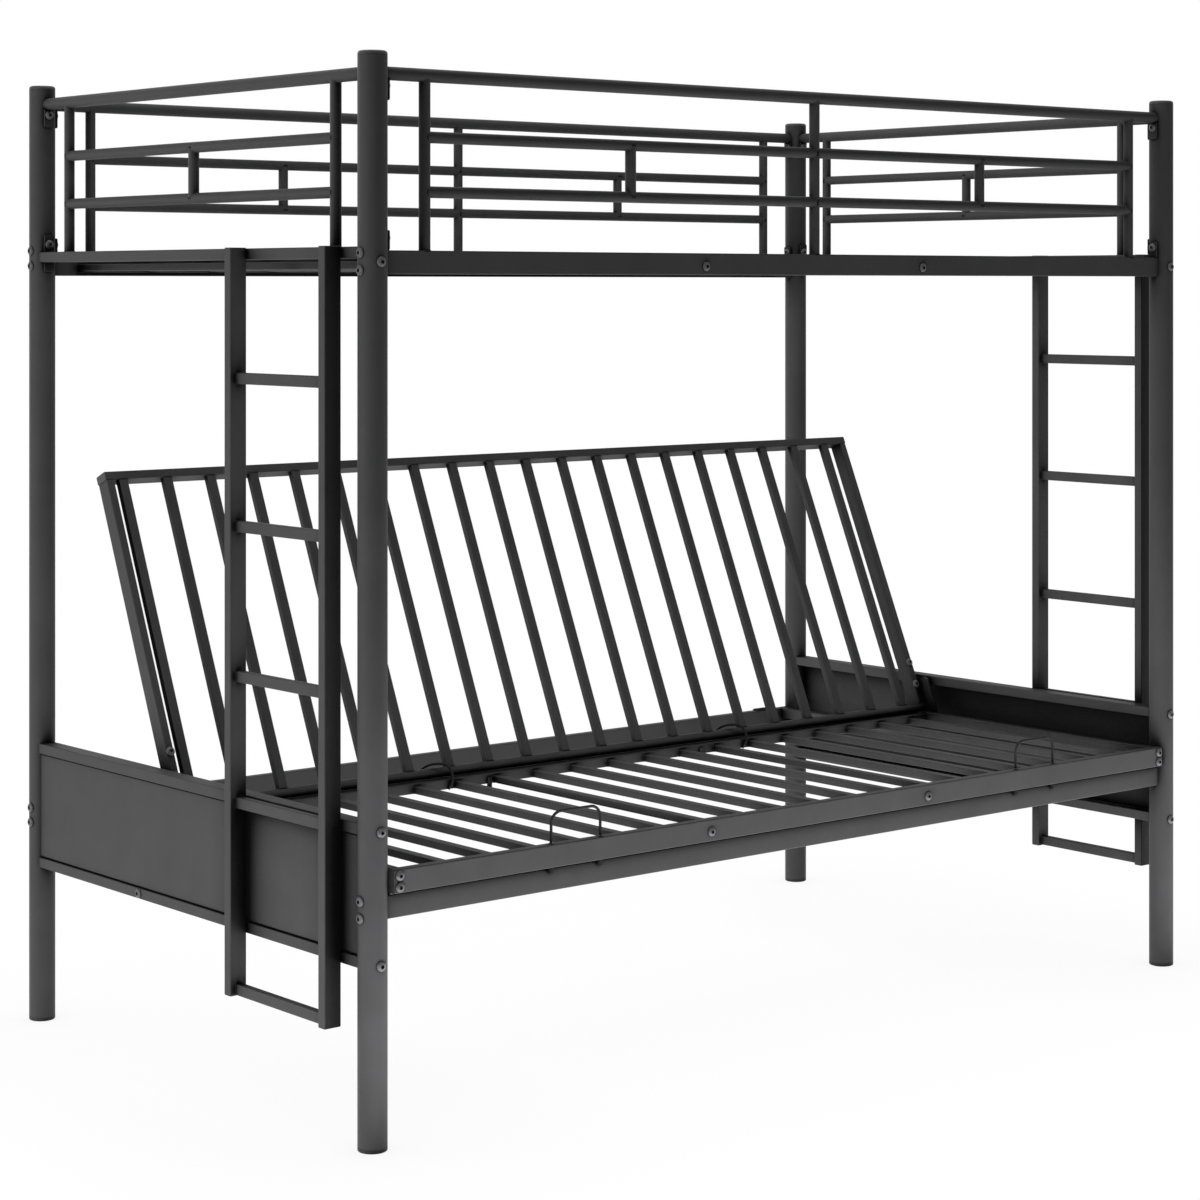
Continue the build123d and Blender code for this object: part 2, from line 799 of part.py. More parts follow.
nodes = {}
for name_y, y in (("front", -1), ("rear", 1)):
    for name_x, x in (("left", -1), ("right", 1)):
        nodes[f"post_{name_y}_{name_x}"] = [make_post(x, y)]
    nodes[f"upper_side_rail_{name_y}"] = make_upper_side_rail(y)
    nodes[f"lower_rail_{name_y}"] = make_lower_rail(y)
    outer = half_x - guard_upright_inset
    nodes[f"guard_{name_y}"] = make_guard("x", y * half_y, (-outer, 0, outer), side_rail_top)

for name_x, x in (("left", -1), ("right", 1)):
    outer = half_y - guard_upright_inset
    nodes[f"guard_{name_x}"] = make_guard("y", x * half_x, (-outer, outer), end_rail_top)
    nodes[f"upper_end_rail_{name_x}"] = make_upper_end_rail(x)
    nodes[f"panel_frame_{name_x}"] = make_panel_frame(x)
    nodes[f"panel_sheet_{name_x}"] = make_panel_sheet(x)
    nodes[f"ladder_{name_x}"] = make_ladder(x)
    nodes[f"ladder_plugs_{name_x}"] = make_tube_plugs(end_rail_wide, rail_narrow, ladder_plug_places(x))
    nodes[f"seat_runner_{name_x}"] = make_runner(x)
    nodes[f"seat_side_rail_{name_x}"] = make_seat_side_rail(x)
    nodes[f"hinge_plate_{name_x}"] = make_hinge_plate(x)
    nodes[f"back_side_bar_{name_x}"] = make_back_side_bar(x)
    nodes[f"hinge_lug_{name_x}"] = make_hinge_lug(x)

tops = [Pos(x * half_x, y * half_y, post_height - cap_lip) for x in ends for y in ends]
feet = [Pos(x * half_x, y * half_y, cap_lip) * Rot(180, 0, 0) for x in ends for y in ends]
nodes["post_caps"] = [place * make_plug(cap_edge) for place in tops]
nodes["post_feet"] = [place * make_plug(0) for place in feet]
nodes["deck_ledges"] = make_deck_ledges()
nodes["deck_slats"] = make_deck_slats()
nodes["deck_tie_bars"] = make_deck_tie_bars()
nodes["front_glides"] = make_front_glides()
nodes["rest_pads"] = make_rest_pads()
frame_places = tie_bar_bolts(-1) + tie_bar_bolts(1) + [panel_bolt(x) for x in ends]
nodes["frame_bolts"] = [make_bolt(*place) for place in frame_places]

nodes["seat_front_rail"] = make_seat_front_rail()
nodes["seat_rear_rail"] = make_seat_rear_rail()
nodes["seat_slats"] = make_seat_slats()
nodes["seat_tie_bars"] = make_seat_tie_bars()
nodes["rear_glides"] = make_rear_glides()
nodes["mattress_hoops"] = make_hoops()
nodes["tube_hooks"] = make_hooks()
nodes["seat_bolts"] = [make_bolt(*place) for place in seat_bolts()]
nodes["hinge_bolts"] = [make_bolt(*place) for x in ends for place in hinge_bolts(x)]
nodes["seat_rail_plugs"] = make_tube_plugs(rail_tall, rail_narrow, front_rail_ends())

nodes["back_top_rail"] = make_back_top_rail()
nodes["pivot_tube"] = make_pivot_tube()
nodes["back_bars"] = make_back_bars()
nodes["pivot_pins"] = make_pins(0, 0)
nodes["stop_pins"] = make_pins(slot_reach, back_deep / 2 - back_face)
nodes["lug_bolts"] = [make_bolt(*place) for x in ends for place in lug_bolts(x)]
nodes["back_rail_plugs"] = make_tube_plugs(back_narrow, back_deep, top_rail_ends())

os.makedirs("parts", exist_ok=True)
for name, shapes in nodes.items():
    export_step(Compound(children=solids_of(shapes)), f"parts/{name}.step")
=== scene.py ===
import bmesh
import bpy
import numpy as np
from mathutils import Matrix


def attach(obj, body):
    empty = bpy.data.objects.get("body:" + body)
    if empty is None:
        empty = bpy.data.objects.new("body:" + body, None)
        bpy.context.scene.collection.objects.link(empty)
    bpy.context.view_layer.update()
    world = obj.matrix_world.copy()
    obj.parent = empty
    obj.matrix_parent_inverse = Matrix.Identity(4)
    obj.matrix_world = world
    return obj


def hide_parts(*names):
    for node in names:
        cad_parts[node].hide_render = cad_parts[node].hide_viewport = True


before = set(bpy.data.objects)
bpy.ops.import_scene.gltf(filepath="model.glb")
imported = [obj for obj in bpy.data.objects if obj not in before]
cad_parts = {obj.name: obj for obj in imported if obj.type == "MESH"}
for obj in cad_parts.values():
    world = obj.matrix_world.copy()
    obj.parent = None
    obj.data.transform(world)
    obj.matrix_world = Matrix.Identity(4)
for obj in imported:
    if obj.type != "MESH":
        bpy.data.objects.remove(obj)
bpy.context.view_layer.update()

# The view: a level camera off the left front corner, at the height of the upper bunk's rails,
# with the frame shifted down so that the posts stay upright.
image_wide, focal_length, horizon_row = 1200, 2868.2, 285.2
camera = bpy.data.cameras.new("camera")
camera.sensor_width = 36.0
camera.lens = focal_length / image_wide * camera.sensor_width
camera.shift_y = (horizon_row - image_wide / 2) / image_wide
camera.clip_start = 0.05
camera.clip_end = 60.0
viewpoint = bpy.data.objects.new("viewpoint", camera)
viewpoint.location = (-3.6019, -4.2452, 1.3685)
viewpoint.rotation_euler = (np.pi / 2, 0.0, -np.radians(39.85))
bpy.context.scene.collection.objects.link(viewpoint)
bpy.context.scene.camera = viewpoint
bpy.context.scene.view_settings.view_transform = "Standard"


# Floor: a plain sheet of matt white paper, which the camera and the gloss see as white, with a
# painted shadow, a little greyer where the bed stands close above it.
def add(tree, kind, settings, links=()):
    """New node of a kind in a tree: settings go to its inputs or its own properties by name,
    and each link joins an output of an earlier node to an input of this one."""
    made = tree.nodes.new(kind)
    for name, value in settings.items():
        if name in made.inputs:
            made.inputs[name].default_value = value
        else:
            setattr(made, name, value)
    for source, output, target in links:
        tree.links.new(source.outputs[output], made.inputs[target])
    return made


def linear(code):
    """sRGB hex to linear light: the straight part below 0.04045, the 2.4 power above it."""
    value = np.array([int(code[i : i + 2], 16) for i in (1, 3, 5)]) / 255
    value = np.where(value <= 0.04045, value / 12.92, ((value + 0.055) / 1.055) ** 2.4)
    return (*value.tolist(), 1.0)


half_sheet = 30.0
sheet = bpy.data.meshes.new("floor")
corners = [(-half_sheet, -half_sheet, 0), (half_sheet, -half_sheet, 0), (half_sheet, half_sheet, 0)]
sheet.from_pydata([*corners, (-half_sheet, half_sheet, 0)], [], [(0, 1, 2, 3)])
floor = bpy.data.objects.new("floor", sheet)
bpy.context.scene.collection.objects.link(floor)
paper = bpy.data.materials.new("matt_white_paper")
paper.use_nodes = True
tree = paper.node_tree
tree.nodes.clear()
rays = add(tree, "ShaderNodeLightPath", {})
ray_links = [(rays, "Is Camera Ray", 0), (rays, "Is Glossy Ray", 1)]
seen = add(tree, "ShaderNodeMath", {"operation": "MAXIMUM"}, ray_links)
matt = add(tree, "ShaderNodeBsdfDiffuse", {"Color": linear("#e8e8e8")})
# Painted shadow: ambient occlusion dims the white that the camera sees under the bed.
open_air = add(tree, "ShaderNodeAmbientOcclusion", {"Distance": 0.55, "samples": 16})
shade_range = {"From Min": 0.2, "To Min": 0.86, "To Max": 1.0}
shadow = add(tree, "ShaderNodeMapRange", shade_range, [(open_air, "AO", "Value")])
lit = add(tree, "ShaderNodeEmission", {"Color": linear("#ffffff")}, [(shadow, "Result", "Strength")])
mix = add(tree, "ShaderNodeMixShader", {}, [(seen, 0, 0), (matt, 0, 1), (lit, 0, 2)])
add(tree, "ShaderNodeOutputMaterial", {}, [(mix, 0, "Surface")])
floor.data.materials.append(paper)


# Studio: soft boxes at the left, behind and overhead, and the light that a bright white floor
# throws up, which fades with height. The world is white to the camera and the gloss alone.
def lamp(name, place, aim, width, height, power):
    """Area lamp at a place, turned so that its face looks at the aim, and out of the camera's sight."""
    light = bpy.data.lights.new(name, "AREA")
    light.shape = "RECTANGLE"
    light.size, light.size_y, light.energy = width, height, power
    holder = bpy.data.objects.new(name, light)
    holder.location = place
    back = np.array(place) - np.array(aim)
    holder.rotation_euler = (np.arctan2(np.hypot(*back[:2]), back[2]), 0.0, np.arctan2(back[0], -back[1]))
    holder.visible_camera = False
    bpy.context.scene.collection.objects.link(holder)


lamp("left_softbox", (-9.0, 1.3, 1.1), (-0.6, 0.2, 0.6), 3.2, 3.6, 350.0)
lamp("left_rear_softbox", (-3.2, 3.4, 1.0), (-0.9, 0.0, 0.7), 1.6, 2.2, 15.0)
lamp("rear_softbox", (-0.5, 4.6, 1.6), (0.0, 0.0, 0.9), 3.0, 2.0, 32.0)
lamp("top_softbox", (-0.4, 0.2, 4.4), (0.0, 0.0, 0.6), 3.0, 3.0, 82.0)
lamp("glowing_floor", (0.0, 0.0, 0.004), (0.0, 0.0, 1.0), 3.4, 2.5, 21.0)
lamp("glowing_floor_front", (0.0, -1.05, 0.004), (0.0, -1.05, 1.0), 4.0, 0.8, 30.0)
lamp("glowing_floor_left", (-1.5, 0.0, 0.004), (-1.5, 0.0, 1.0), 0.8, 2.6, 12.0)

world = bpy.data.worlds.new("studio")
bpy.context.scene.world = world
world.use_nodes = True
tree = world.node_tree
tree.nodes.clear()
rays = add(tree, "ShaderNodeLightPath", {})
ray_links = [(rays, "Is Camera Ray", 0), (rays, "Is Glossy Ray", 1)]
seen = add(tree, "ShaderNodeMath", {"operation": "MAXIMUM"}, ray_links)
ray_links = [(seen, 0, 0), (rays, "Is Transmission Ray", 1)]
seen = add(tree, "ShaderNodeMath", {"operation": "MAXIMUM"}, ray_links)
dark = add(tree, "ShaderNodeBackground", {"Color": linear("#ffffff"), "Strength": 0.0})
white = add(tree, "ShaderNodeBackground", {"Color": linear("#ffffff"), "Strength": 1.0})
mix = add(tree, "ShaderNodeMixShader", {}, [(seen, 0, 0), (dark, 0, 1), (white, 0, 2)])
add(tree, "ShaderNodeOutputWorld", {}, [(mix, 0, "Surface")])


# Posts: four round steel tubes, 48 mm across, sawn square and closed by moulded plugs. Like all
# the steel of the bed they are sprayed with satin black powder and baked.
def turned(profile, place, axis=(0, 0, 1), count=64):
    """Surface of revolution: row k is a ring of radius r[k] at h[k] along the axis from the place.
    A radius given as an array has one value for each angle."""
    angle = np.arange(count) * 2 * np.pi / count
    radius = np.array([np.broadcast_to(r, count) for r, _ in profile])
    height = np.array([h for _, h in profile], float)
    axis = np.array(axis, float)
    side = np.cross(axis, np.eye(3)[np.argmin(np.abs(axis))])
    side /= np.linalg.norm(side)
    ring = np.cos(angle)[:, None] * side + np.sin(angle)[:, None] * np.cross(axis, side)
    return np.array(place, float) + radius[:, :, None] * ring + height[:, None, None] * axis


def volume(shell):
    """Signed volume of a closed surface: a sixth of the box product of each triangle's corners."""
    shell = shell - shell.mean((0, 1))
    a, b = shell[:-1], shell[1:]
    c, d = np.roll(b, -1, 1), np.roll(a, -1, 1)
    walls = (a * np.cross(d, c)).sum() + (a * np.cross(c, b)).sum()
    ends = [(ring[0] * np.cross(ring, np.roll(ring, -1, 0))).sum() for ring in (shell[0], shell[-1])]
    return walls - ends[0] + ends[1]


def fitted(name, mesh, finish, body, *nodes):
    """Object for a mesh: its finish's material, flat faces that stay flat beside small rounds, the body
    it moves with and the nodes that it stands for, which are hidden. The record's slot that comes with
    the finish is not used."""
    material, slot = finish
    mesh.shade_smooth()
    mesh.set_sharp_from_angle(angle=np.radians(40))
    mesh.materials.clear()
    mesh.materials.append(material)
    made = bpy.data.objects.new(name, mesh)
    bpy.context.scene.collection.objects.link(made)
    flat_sides = made.modifiers.new("flat_sides_stay_flat", "WEIGHTED_NORMAL")
    flat_sides.keep_sharp = True
    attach(made, body)
    if nodes:
        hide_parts(*nodes)
    return made


def piece(name, shells, finish, body, *nodes):
    """Joins surfaces given as rows of rings, in mm, into one mesh: quads between neighbouring
    rings, each turned to face out by its shell's signed volume, and one face over each end."""
    points, faces, first = [], [], 0
    for shell in shells:
        shell = shell[:, ::-1] if volume(shell) < 0 else shell
        rows, around = shell.shape[:2]
        index = first + np.arange(rows * around).reshape(rows, around)
        low, high = index[:-1], index[1:]
        quads = np.stack([low, np.roll(low, -1, 1), np.roll(high, -1, 1), high], -1)
        faces += quads.reshape(-1, 4).tolist()
        faces += [index[0][::-1].tolist(), index[-1].tolist()]
        points.append(shell.reshape(-1, 3))
        first += rows * around
    mesh = bpy.data.meshes.new(name)
    mesh.from_pydata(np.concatenate(points) / 1000, [], faces)
    return fitted(name, mesh, finish, body, *nodes)


# Polyester powder, sprayed and baked at about 200 C: an even dark grey film with an orange peel
# about 2 mm across and a broad, weak gloss. Painted shade darkens the colour in close corners,
# within 100 mm, and is left out at the posts' feet, where the floor throws light back.
# Real powder peels by a few hundredths of a millimetre, so the bump is drawn a little stronger.
def sprayed(name, deep, pale):
    """Sprayed coat: the tone runs from deep to pale with a slow noise. It is scaled by painted shade,
    the share of open air around the point, or by one near the floor, whichever is more."""
    made = bpy.data.materials.new(name)
    made.use_nodes = True
    tree = made.node_tree
    tree.nodes.clear()
    place = add(tree, "ShaderNodeTexCoord", {})
    at = [(place, "Object", "Vector")]
    peel = add(tree, "ShaderNodeTexNoise", {"Scale": 520.0, "Detail": 2.0, "Roughness": 0.55}, at)
    cloud = add(tree, "ShaderNodeTexNoise", {"Scale": 9.0, "Detail": 3.0, "Roughness": 0.6}, at)
    tone = add(tree, "ShaderNodeValToRGB", {}, [(cloud, "Fac", "Fac")])
    tone.color_ramp.elements[0].position, tone.color_ramp.elements[0].color = 0.3, linear(deep)
    tone.color_ramp.elements[1].position, tone.color_ramp.elements[1].color = 0.7, linear(pale)
    # Painted shade: ambient occlusion darkens the colour within 100 mm of other surfaces, except near the
    # floor.
    corner = add(tree, "ShaderNodeAmbientOcclusion", {"Distance": 0.1, "samples": 8})
    painted_shade_range = {"From Min": 0.66, "From Max": 0.98, "To Min": 0.02}
    depth = add(tree, "ShaderNodeMapRange", painted_shade_range, [(corner, "AO", "Value")])
    height = add(tree, "ShaderNodeSeparateXYZ", {}, at)
    foot = add(tree, "ShaderNodeMapRange", {"From Min": 0.14, "From Max": 0.1}, [(height, "Z", "Value")])
    painted_shade_share_links = [(depth, "Result", 0), (foot, "Result", 1)]
    share = add(tree, "ShaderNodeMath", {"operation": "MAXIMUM"}, painted_shade_share_links)
    painted_shade_film_links = [(tone, "Color", 0), (share, 0, "Scale")]
    painted_shade_film = add(tree, "ShaderNodeVectorMath", {"operation": "SCALE"}, painted_shade_film_links)
    gloss_range = {"From Min": 0.3, "From Max": 0.7, "To Min": 0.5, "To Max": 0.58}
    gloss = add(tree, "ShaderNodeMapRange", gloss_range, [(cloud, "Fac", "Value")])
    bump = add(tree, "ShaderNodeBump", {"Strength": 0.12, "Distance": 0.0004}, [(peel, "Fac", "Height")])
    coat_links = [(painted_shade_film, "Vector", "Base Color"), (gloss, "Result", "Roughness"), (bump, "Normal", "Normal")]
    coat = add(tree, "ShaderNodeBsdfPrincipled", {"Specular IOR Level": 0.06}, coat_links)
    add(tree, "ShaderNodeOutputMaterial", {}, [(coat, 0, "Surface")])
    return made, "powder_coat"


powder_coat = sprayed("satin_powder_coated_steel", "#49494a", "#505051")

post_x, post_y, post_radius, post_top = 971.0, 531.5, 24.0, 1740.0
plug_lip, sawn_edge = 7.0, 0.4
post_profile = [
    (post_radius - sawn_edge, plug_lip),
    (post_radius, plug_lip + sawn_edge),
    (post_radius, post_top - plug_lip - sawn_edge),
    (post_radius - sawn_edge, post_top - plug_lip),
]
sides = (("left", -1), ("right", 1))
rows = (("front", -1), ("rear", 1))
for row, y in rows:
    for side, x in sides:
        shells = [turned(post_profile, (x * post_x, y * post_y, 0))]
        piece(f"steel_post_{row}_{side}", shells, powder_coat, "frame", f"post_{row}_{side}")


# Post plugs: a cap above and a foot below, injection-moulded in black polyethylene and pressed
# into the tube. The cap's edge is well rounded and its top very slightly domed.
def plug_profile(height, bend, crown):
    """Lip of a plug: up the side, a quarter circle of radius bend over the edge, then a low crown."""
    turn = np.linspace(0, np.pi / 2, 9)
    flat = post_radius - bend
    edge = [(flat + bend * np.cos(t), height - crown - bend + bend * np.sin(t)) for t in turn]
    face = [(flat * share, height - crown * share**2) for share in (0.8, 0.5, 0.2, 0.02)]
    return [(post_radius - 1.0, 0.0), (post_radius, 0.4), *edge, *face]


# Spark-eroded mould texture with grains of 0.8 mm, coarser than the real 0.1 mm so that they
# show, over faint flow marks: a dull black with no clear highlights.
polyethylene = bpy.data.materials.new("moulded_black_polyethylene")
polyethylene.use_nodes = True
tree = polyethylene.node_tree
tree.nodes.clear()
place = add(tree, "ShaderNodeTexCoord", {})
at = [(place, "Object", "Vector")]
grain = add(tree, "ShaderNodeTexNoise", {"Scale": 1250.0, "Detail": 1.0}, at)
flow = add(tree, "ShaderNodeTexNoise", {"Scale": 60.0, "Detail": 2.0, "Distortion": 1.5}, at)
tone = add(tree, "ShaderNodeValToRGB", {}, [(flow, "Fac", "Fac")])
tone.color_ramp.elements[0].position, tone.color_ramp.elements[0].color = 0.35, linear("#3f3f40")
tone.color_ramp.elements[1].position, tone.color_ramp.elements[1].color = 0.65, linear("#464647")
bump = add(tree, "ShaderNodeBump", {"Strength": 0.25, "Distance": 0.0002}, [(grain, "Fac", "Height")])
skin = {"Roughness": 0.55, "Specular IOR Level": 0.25}
skin_links = [(tone, "Color", "Base Color"), (bump, "Normal", "Normal")]
moulded = add(tree, "ShaderNodeBsdfPrincipled", skin, skin_links)
add(tree, "ShaderNodeOutputMaterial", {}, [(moulded, 0, "Surface")])
plug_plastic = (polyethylene, "plug_plastic")

cap_round, foot_round, dome = 5.0, 2.5, 0.3
caps, feet = [], []
for row, y in rows:
    for side, x in sides:
        top, foot = (x * post_x, y * post_y, post_top - plug_lip), (x * post_x, y * post_y, plug_lip)
        caps.append(turned(plug_profile(plug_lip, cap_round, dome), top))
        feet.append(turned(plug_profile(plug_lip, foot_round, 0.0), foot, (0, 0, -1)))
piece("moulded_post_caps", caps, plug_plastic, "frame", "post_caps")
piece("moulded_post_feet", feet, plug_plastic, "frame", "post_feet")

# Bolts: cold-headed steel furniture bolts with a button head 17 mm across and a hex socket. They
# hold the rails to the posts and plates, each seated on the tube that it pulls in.
bolt_proud, socket_flat, socket_deep, bolt_sides = 4.2, 2.9, 3.2, 24
head_rows = ((8.1, -1.6), (8.5, 0.0), (8.5, 0.9), (8.1, 1.7), (7.0, 2.7), (5.5, 3.6))
head_rows += ((4.2, 4.1), (3.7, 4.2))


def bolt(place, axis, sunk=1.6):
    """Button head: rings over a low dome, then the ring turns from a circle of radius r into a
    hexagon, whose radius at angle a is its flat over the cosine of a folded into one sixth."""
    angle = np.arange(bolt_sides) * 2 * np.pi / bolt_sides
    hexagon = socket_flat / np.cos((angle + np.pi / 6) % (np.pi / 3) - np.pi / 6)
    socket = [(hexagon, bolt_proud - 0.5), (hexagon * 0.96, bolt_proud - socket_deep)]
    return turned([(head_rows[0][0], -sunk), *head_rows[1:], *socket], place, axis, bolt_sides)


# Steel blackened in a hot salt bath and oiled: thin and a little uneven, in patches of about
# 3 mm, with a dull edge to each highlight. Painted shade darkens the socket and under the rim.
oxide = bpy.data.materials.new("black_oxide_steel")
oxide.use_nodes = True
tree = oxide.node_tree
tree.nodes.clear()
place = add(tree, "ShaderNodeTexCoord", {})
patch = add(tree, "ShaderNodeTexNoise", {"Scale": 330.0, "Detail": 3.0}, [(place, "Object", "Vector")])
tone = add(tree, "ShaderNodeValToRGB", {}, [(patch, "Fac", "Fac")])
tone.color_ramp.elements[0].position, tone.color_ramp.elements[0].color = 0.35, linear("#505052")
tone.color_ramp.elements[1].position, tone.color_ramp.elements[1].color = 0.65, linear("#5e5e60")
oil_range = {"From Min": 0.3, "From Max": 0.7, "To Min": 0.36, "To Max": 0.48}
oil = add(tree, "ShaderNodeMapRange", oil_range, [(patch, "Fac", "Value")])
# Painted shade: ambient occlusion darkens the colour in the socket and under the rim.
corner = add(tree, "ShaderNodeAmbientOcclusion", {"Distance": 0.006, "samples": 8})
painted_shade_range = {"From Min": 0.4, "From Max": 0.9, "To Min": 0.02}
depth = add(tree, "ShaderNodeMapRange", painted_shade_range, [(corner, "AO", "Value")])
painted_shade_film_links = [(tone, "Color", 0), (depth, "Result", "Scale")]
painted_shade_film = add(tree, "ShaderNodeVectorMath", {"operation": "SCALE"}, painted_shade_film_links)
head_links = [(painted_shade_film, "Vector", "Base Color"), (oil, "Result", "Roughness")]
head = add(tree, "ShaderNodeBsdfPrincipled", {"Metallic": 0.3, "Specular IOR Level": 0.2}, head_links)
add(tree, "ShaderNodeOutputMaterial", {}, [(head, 0, "Surface")])
bolt_steel = (oxide, "bolt_steel")
frame_bolts = []


# Upper side rails: 38 x 19 mm welded steel tube from post to post, two bolts into each end, with
# a plate welded upright on each end for the guard above.
def rounded(width, height, corner, steps=5):
    """Loop round a rectangle: quarter circles of the corner's radius about its four centres."""
    angle = np.linspace(0, np.pi / 2, steps) + np.arange(4)[:, None] * np.pi / 2
    centre = np.array([(1, 1), (-1, 1), (-1, -1), (1, -1)]) * (width / 2 - corner, height / 2 - corner)
    return (centre[:, None] + corner * np.stack([np.cos(angle), np.sin(angle)], -1)).reshape(-1, 2)


def tube(width, height, corner, start, end, side, bead=0.0):
    """Straight rectangular tube: its loop is carried from start to end, its width along side. A
    bead is a weld round both ends, where the loop grows by the bead's width as it nears the face."""
    start, end, side = np.array(start, float), np.array(end, float), np.array(side, float)
    along = (end - start) / np.linalg.norm(end - start)
    across = np.cross(along, side)
    stations = [(0.0, bead), (0.35 * bead, 0.4 * bead), (bead, 0.0)] if bead else [(0.0, 0.0)]
    rings = []
    for depth, grow in stations:
        loop = rounded(width + 2 * grow, height + 2 * grow, corner + grow)
        rings.append(along * depth + loop[:, :1] * side + loop[:, 1:] * across)
    far = [ring - 2 * along * depth for (depth, _), ring in zip(stations, rings)]
    return np.array([start + ring for ring in rings] + [end + ring for ring in far[::-1]])


def plate(centre, along, up, width, height, thick, corner=3.0, soft=0.4):
    """Flat plate with rounded corners and a softened edge: four loops across its thickness."""
    centre, along, up = (np.array(v, float) for v in (centre, along, up))
    across = np.cross(along, up)
    rings = []
    half = thick / 2
    for depth, inset in ((-half, soft), (-half + soft, 0), (half - soft, 0), (half, soft)):
        loop = rounded(width - 2 * inset, height - 2 * inset, corner - inset)
        rings.append(centre + depth * across + loop[:, :1] * along + loop[:, 1:] * up)
    return np.array(rings)


rail_wide, rail_thin, rail_corner = 38.0, 19.0, 2.0
side_rail_top, end_rail_top = 1424.0, 1430.0
plate_wide, plate_thick, plate_rise, plate_drop = 20.0, 3.0, 32.0, 18.0
plate_out = post_radius + 0.1 + plate_thick
post_bolt_drops = {"front": (4.5, 32.0), "rear": (-8.3, 19.6)}
tab_bolt_rise, tie_bolt_drop, rail_sunk = 20.0, 6.3, 2.0
deck_top, tie_place = 1407.5, 270.0
rail_reach = post_x - post_radius + rail_sunk
upright, on_flat = (0, 0, 1), 0.2
for row, y in rows:
    middle = side_rail_top - rail_wide / 2
    start, end = (-rail_reach, y * post_y, middle), (rail_reach, y * post_y, middle)
    shells = [tube(rail_wide, rail_thin, rail_corner, start, end, upright)]
    for side, x in sides:
        centre = (x * (post_x - plate_out + plate_thick / 2), y * post_y, side_rail_top + plate_rise / 2)
        shells.append(plate(centre, (0, 1, 0), upright, plate_wide, plate_rise, plate_thick))
        place = (x * (post_x - plate_out), y * post_y, side_rail_top + tab_bolt_rise)
        frame_bolts.append(bolt(place, (-x, 0, 0), on_flat))
        for drop in post_bolt_drops[row]:
            place = (x * (post_x + post_radius), y * post_y, side_rail_top - drop)
            frame_bolts.append(bolt(place, (x, 0, 0)))
        place = (x * tie_place, y * (post_y + rail_thin / 2), deck_top - tie_bolt_drop)
        frame_bolts.append(bolt(place, (0, y, 0), on_flat))
    piece(f"bolted_upper_side_rail_{row}", shells, powder_coat, "frame", f"upper_side_rail_{row}")

# Upper end rails: 32 x 19 mm tube laid flat, its ends coped to the posts and bolted through
# them, with small plates above and below each end.
end_wide, cope, end_tab_rise, end_bolt_height = 32.0, 18.0, 14.0, 1405.5
for side, x in sides:
    middle = end_rail_top - rail_thin / 2
    start, end = (x * post_x, -post_y + cope, middle), (x * post_x, post_y - cope, middle)
    shells = [tube(rail_thin, end_wide, rail_corner, start, end, upright)]
    for row, y in rows:
        below = end_rail_top - rail_thin - plate_drop
        for low, tall in ((end_rail_top, plate_rise), (below, plate_drop)):
            centre = (x * post_x, y * (post_y - plate_out + plate_thick / 2), low + tall / 2)
            shells.append(plate(centre, (1, 0, 0), upright, plate_wide, tall, plate_thick))
        place = (x * post_x, y * (post_y - plate_out), end_rail_top + end_tab_rise)
        frame_bolts.append(bolt(place, (0, -y, 0), on_flat))
        frame_bolts.append(bolt((x * post_x, y * (post_y + post_radius), end_bolt_height), (0, y, 0)))
    piece(f"coped_upper_end_rail_{side}", shells, powder_coat, "frame", f"upper_end_rail_{side}")

# Guards: a 22 mm top tube over 19 mm uprights, with two 19 mm rails and a short upright in each
# bay, welded before coating, so each joint has a small rippled bead under the powder.
guard_top, guard_top_radius, guard_radius = 1705.0, 11.0, 9.5
guard_heights = (1606.0, 1518.0)
guard_inset, bead_wide, guard_plate = 102.0, 1.4, 34.0
guard_plate_drop, guard_bolt_height = 15.0, 1685.0


def welded_tube(radius, start, end, hosts, side, welded=True):
    """Round tube whose ends lie on round hosts along side, or on flats. At angle a the end stands
    back by the square root of host squared less (r sin a) squared, and its last rings swell into
    a bead whose width ripples with a."""
    start, end, side = np.array(start, float), np.array(end, float), np.array(side, float)
    along = (end - start) / np.linalg.norm(end - start)
    across = np.cross(along, side)
    angle = np.arange(32) * 2 * np.pi / 32
    ripple = bead_wide * (1 + 0.18 * np.cos(13 * angle) + 0.1 * np.cos(5 * angle + radius))
    ring = side * np.cos(angle)[:, None] + across * np.sin(angle)[:, None]
    rings = []
    for point, inward, host in ((start, along, hosts[0]), (end, -along, hosts[1])):
        row = []
        for share in (1.0, 0.75, 0.3, 0.0) if welded else (0.0,):
            reach = radius + ripple * share
            seat = np.sqrt(np.maximum(host**2 - (reach * np.sin(angle)) ** 2, 0)) - (0.3 if host else 0)
            depth = seat + (ripple * (1 - share) ** 1.5 if welded else 0)
            row.append(point + inward * depth[:, None] + reach[:, None] * ring)
        rings += row if inward is along else row[::-1]
    return np.array(rings)


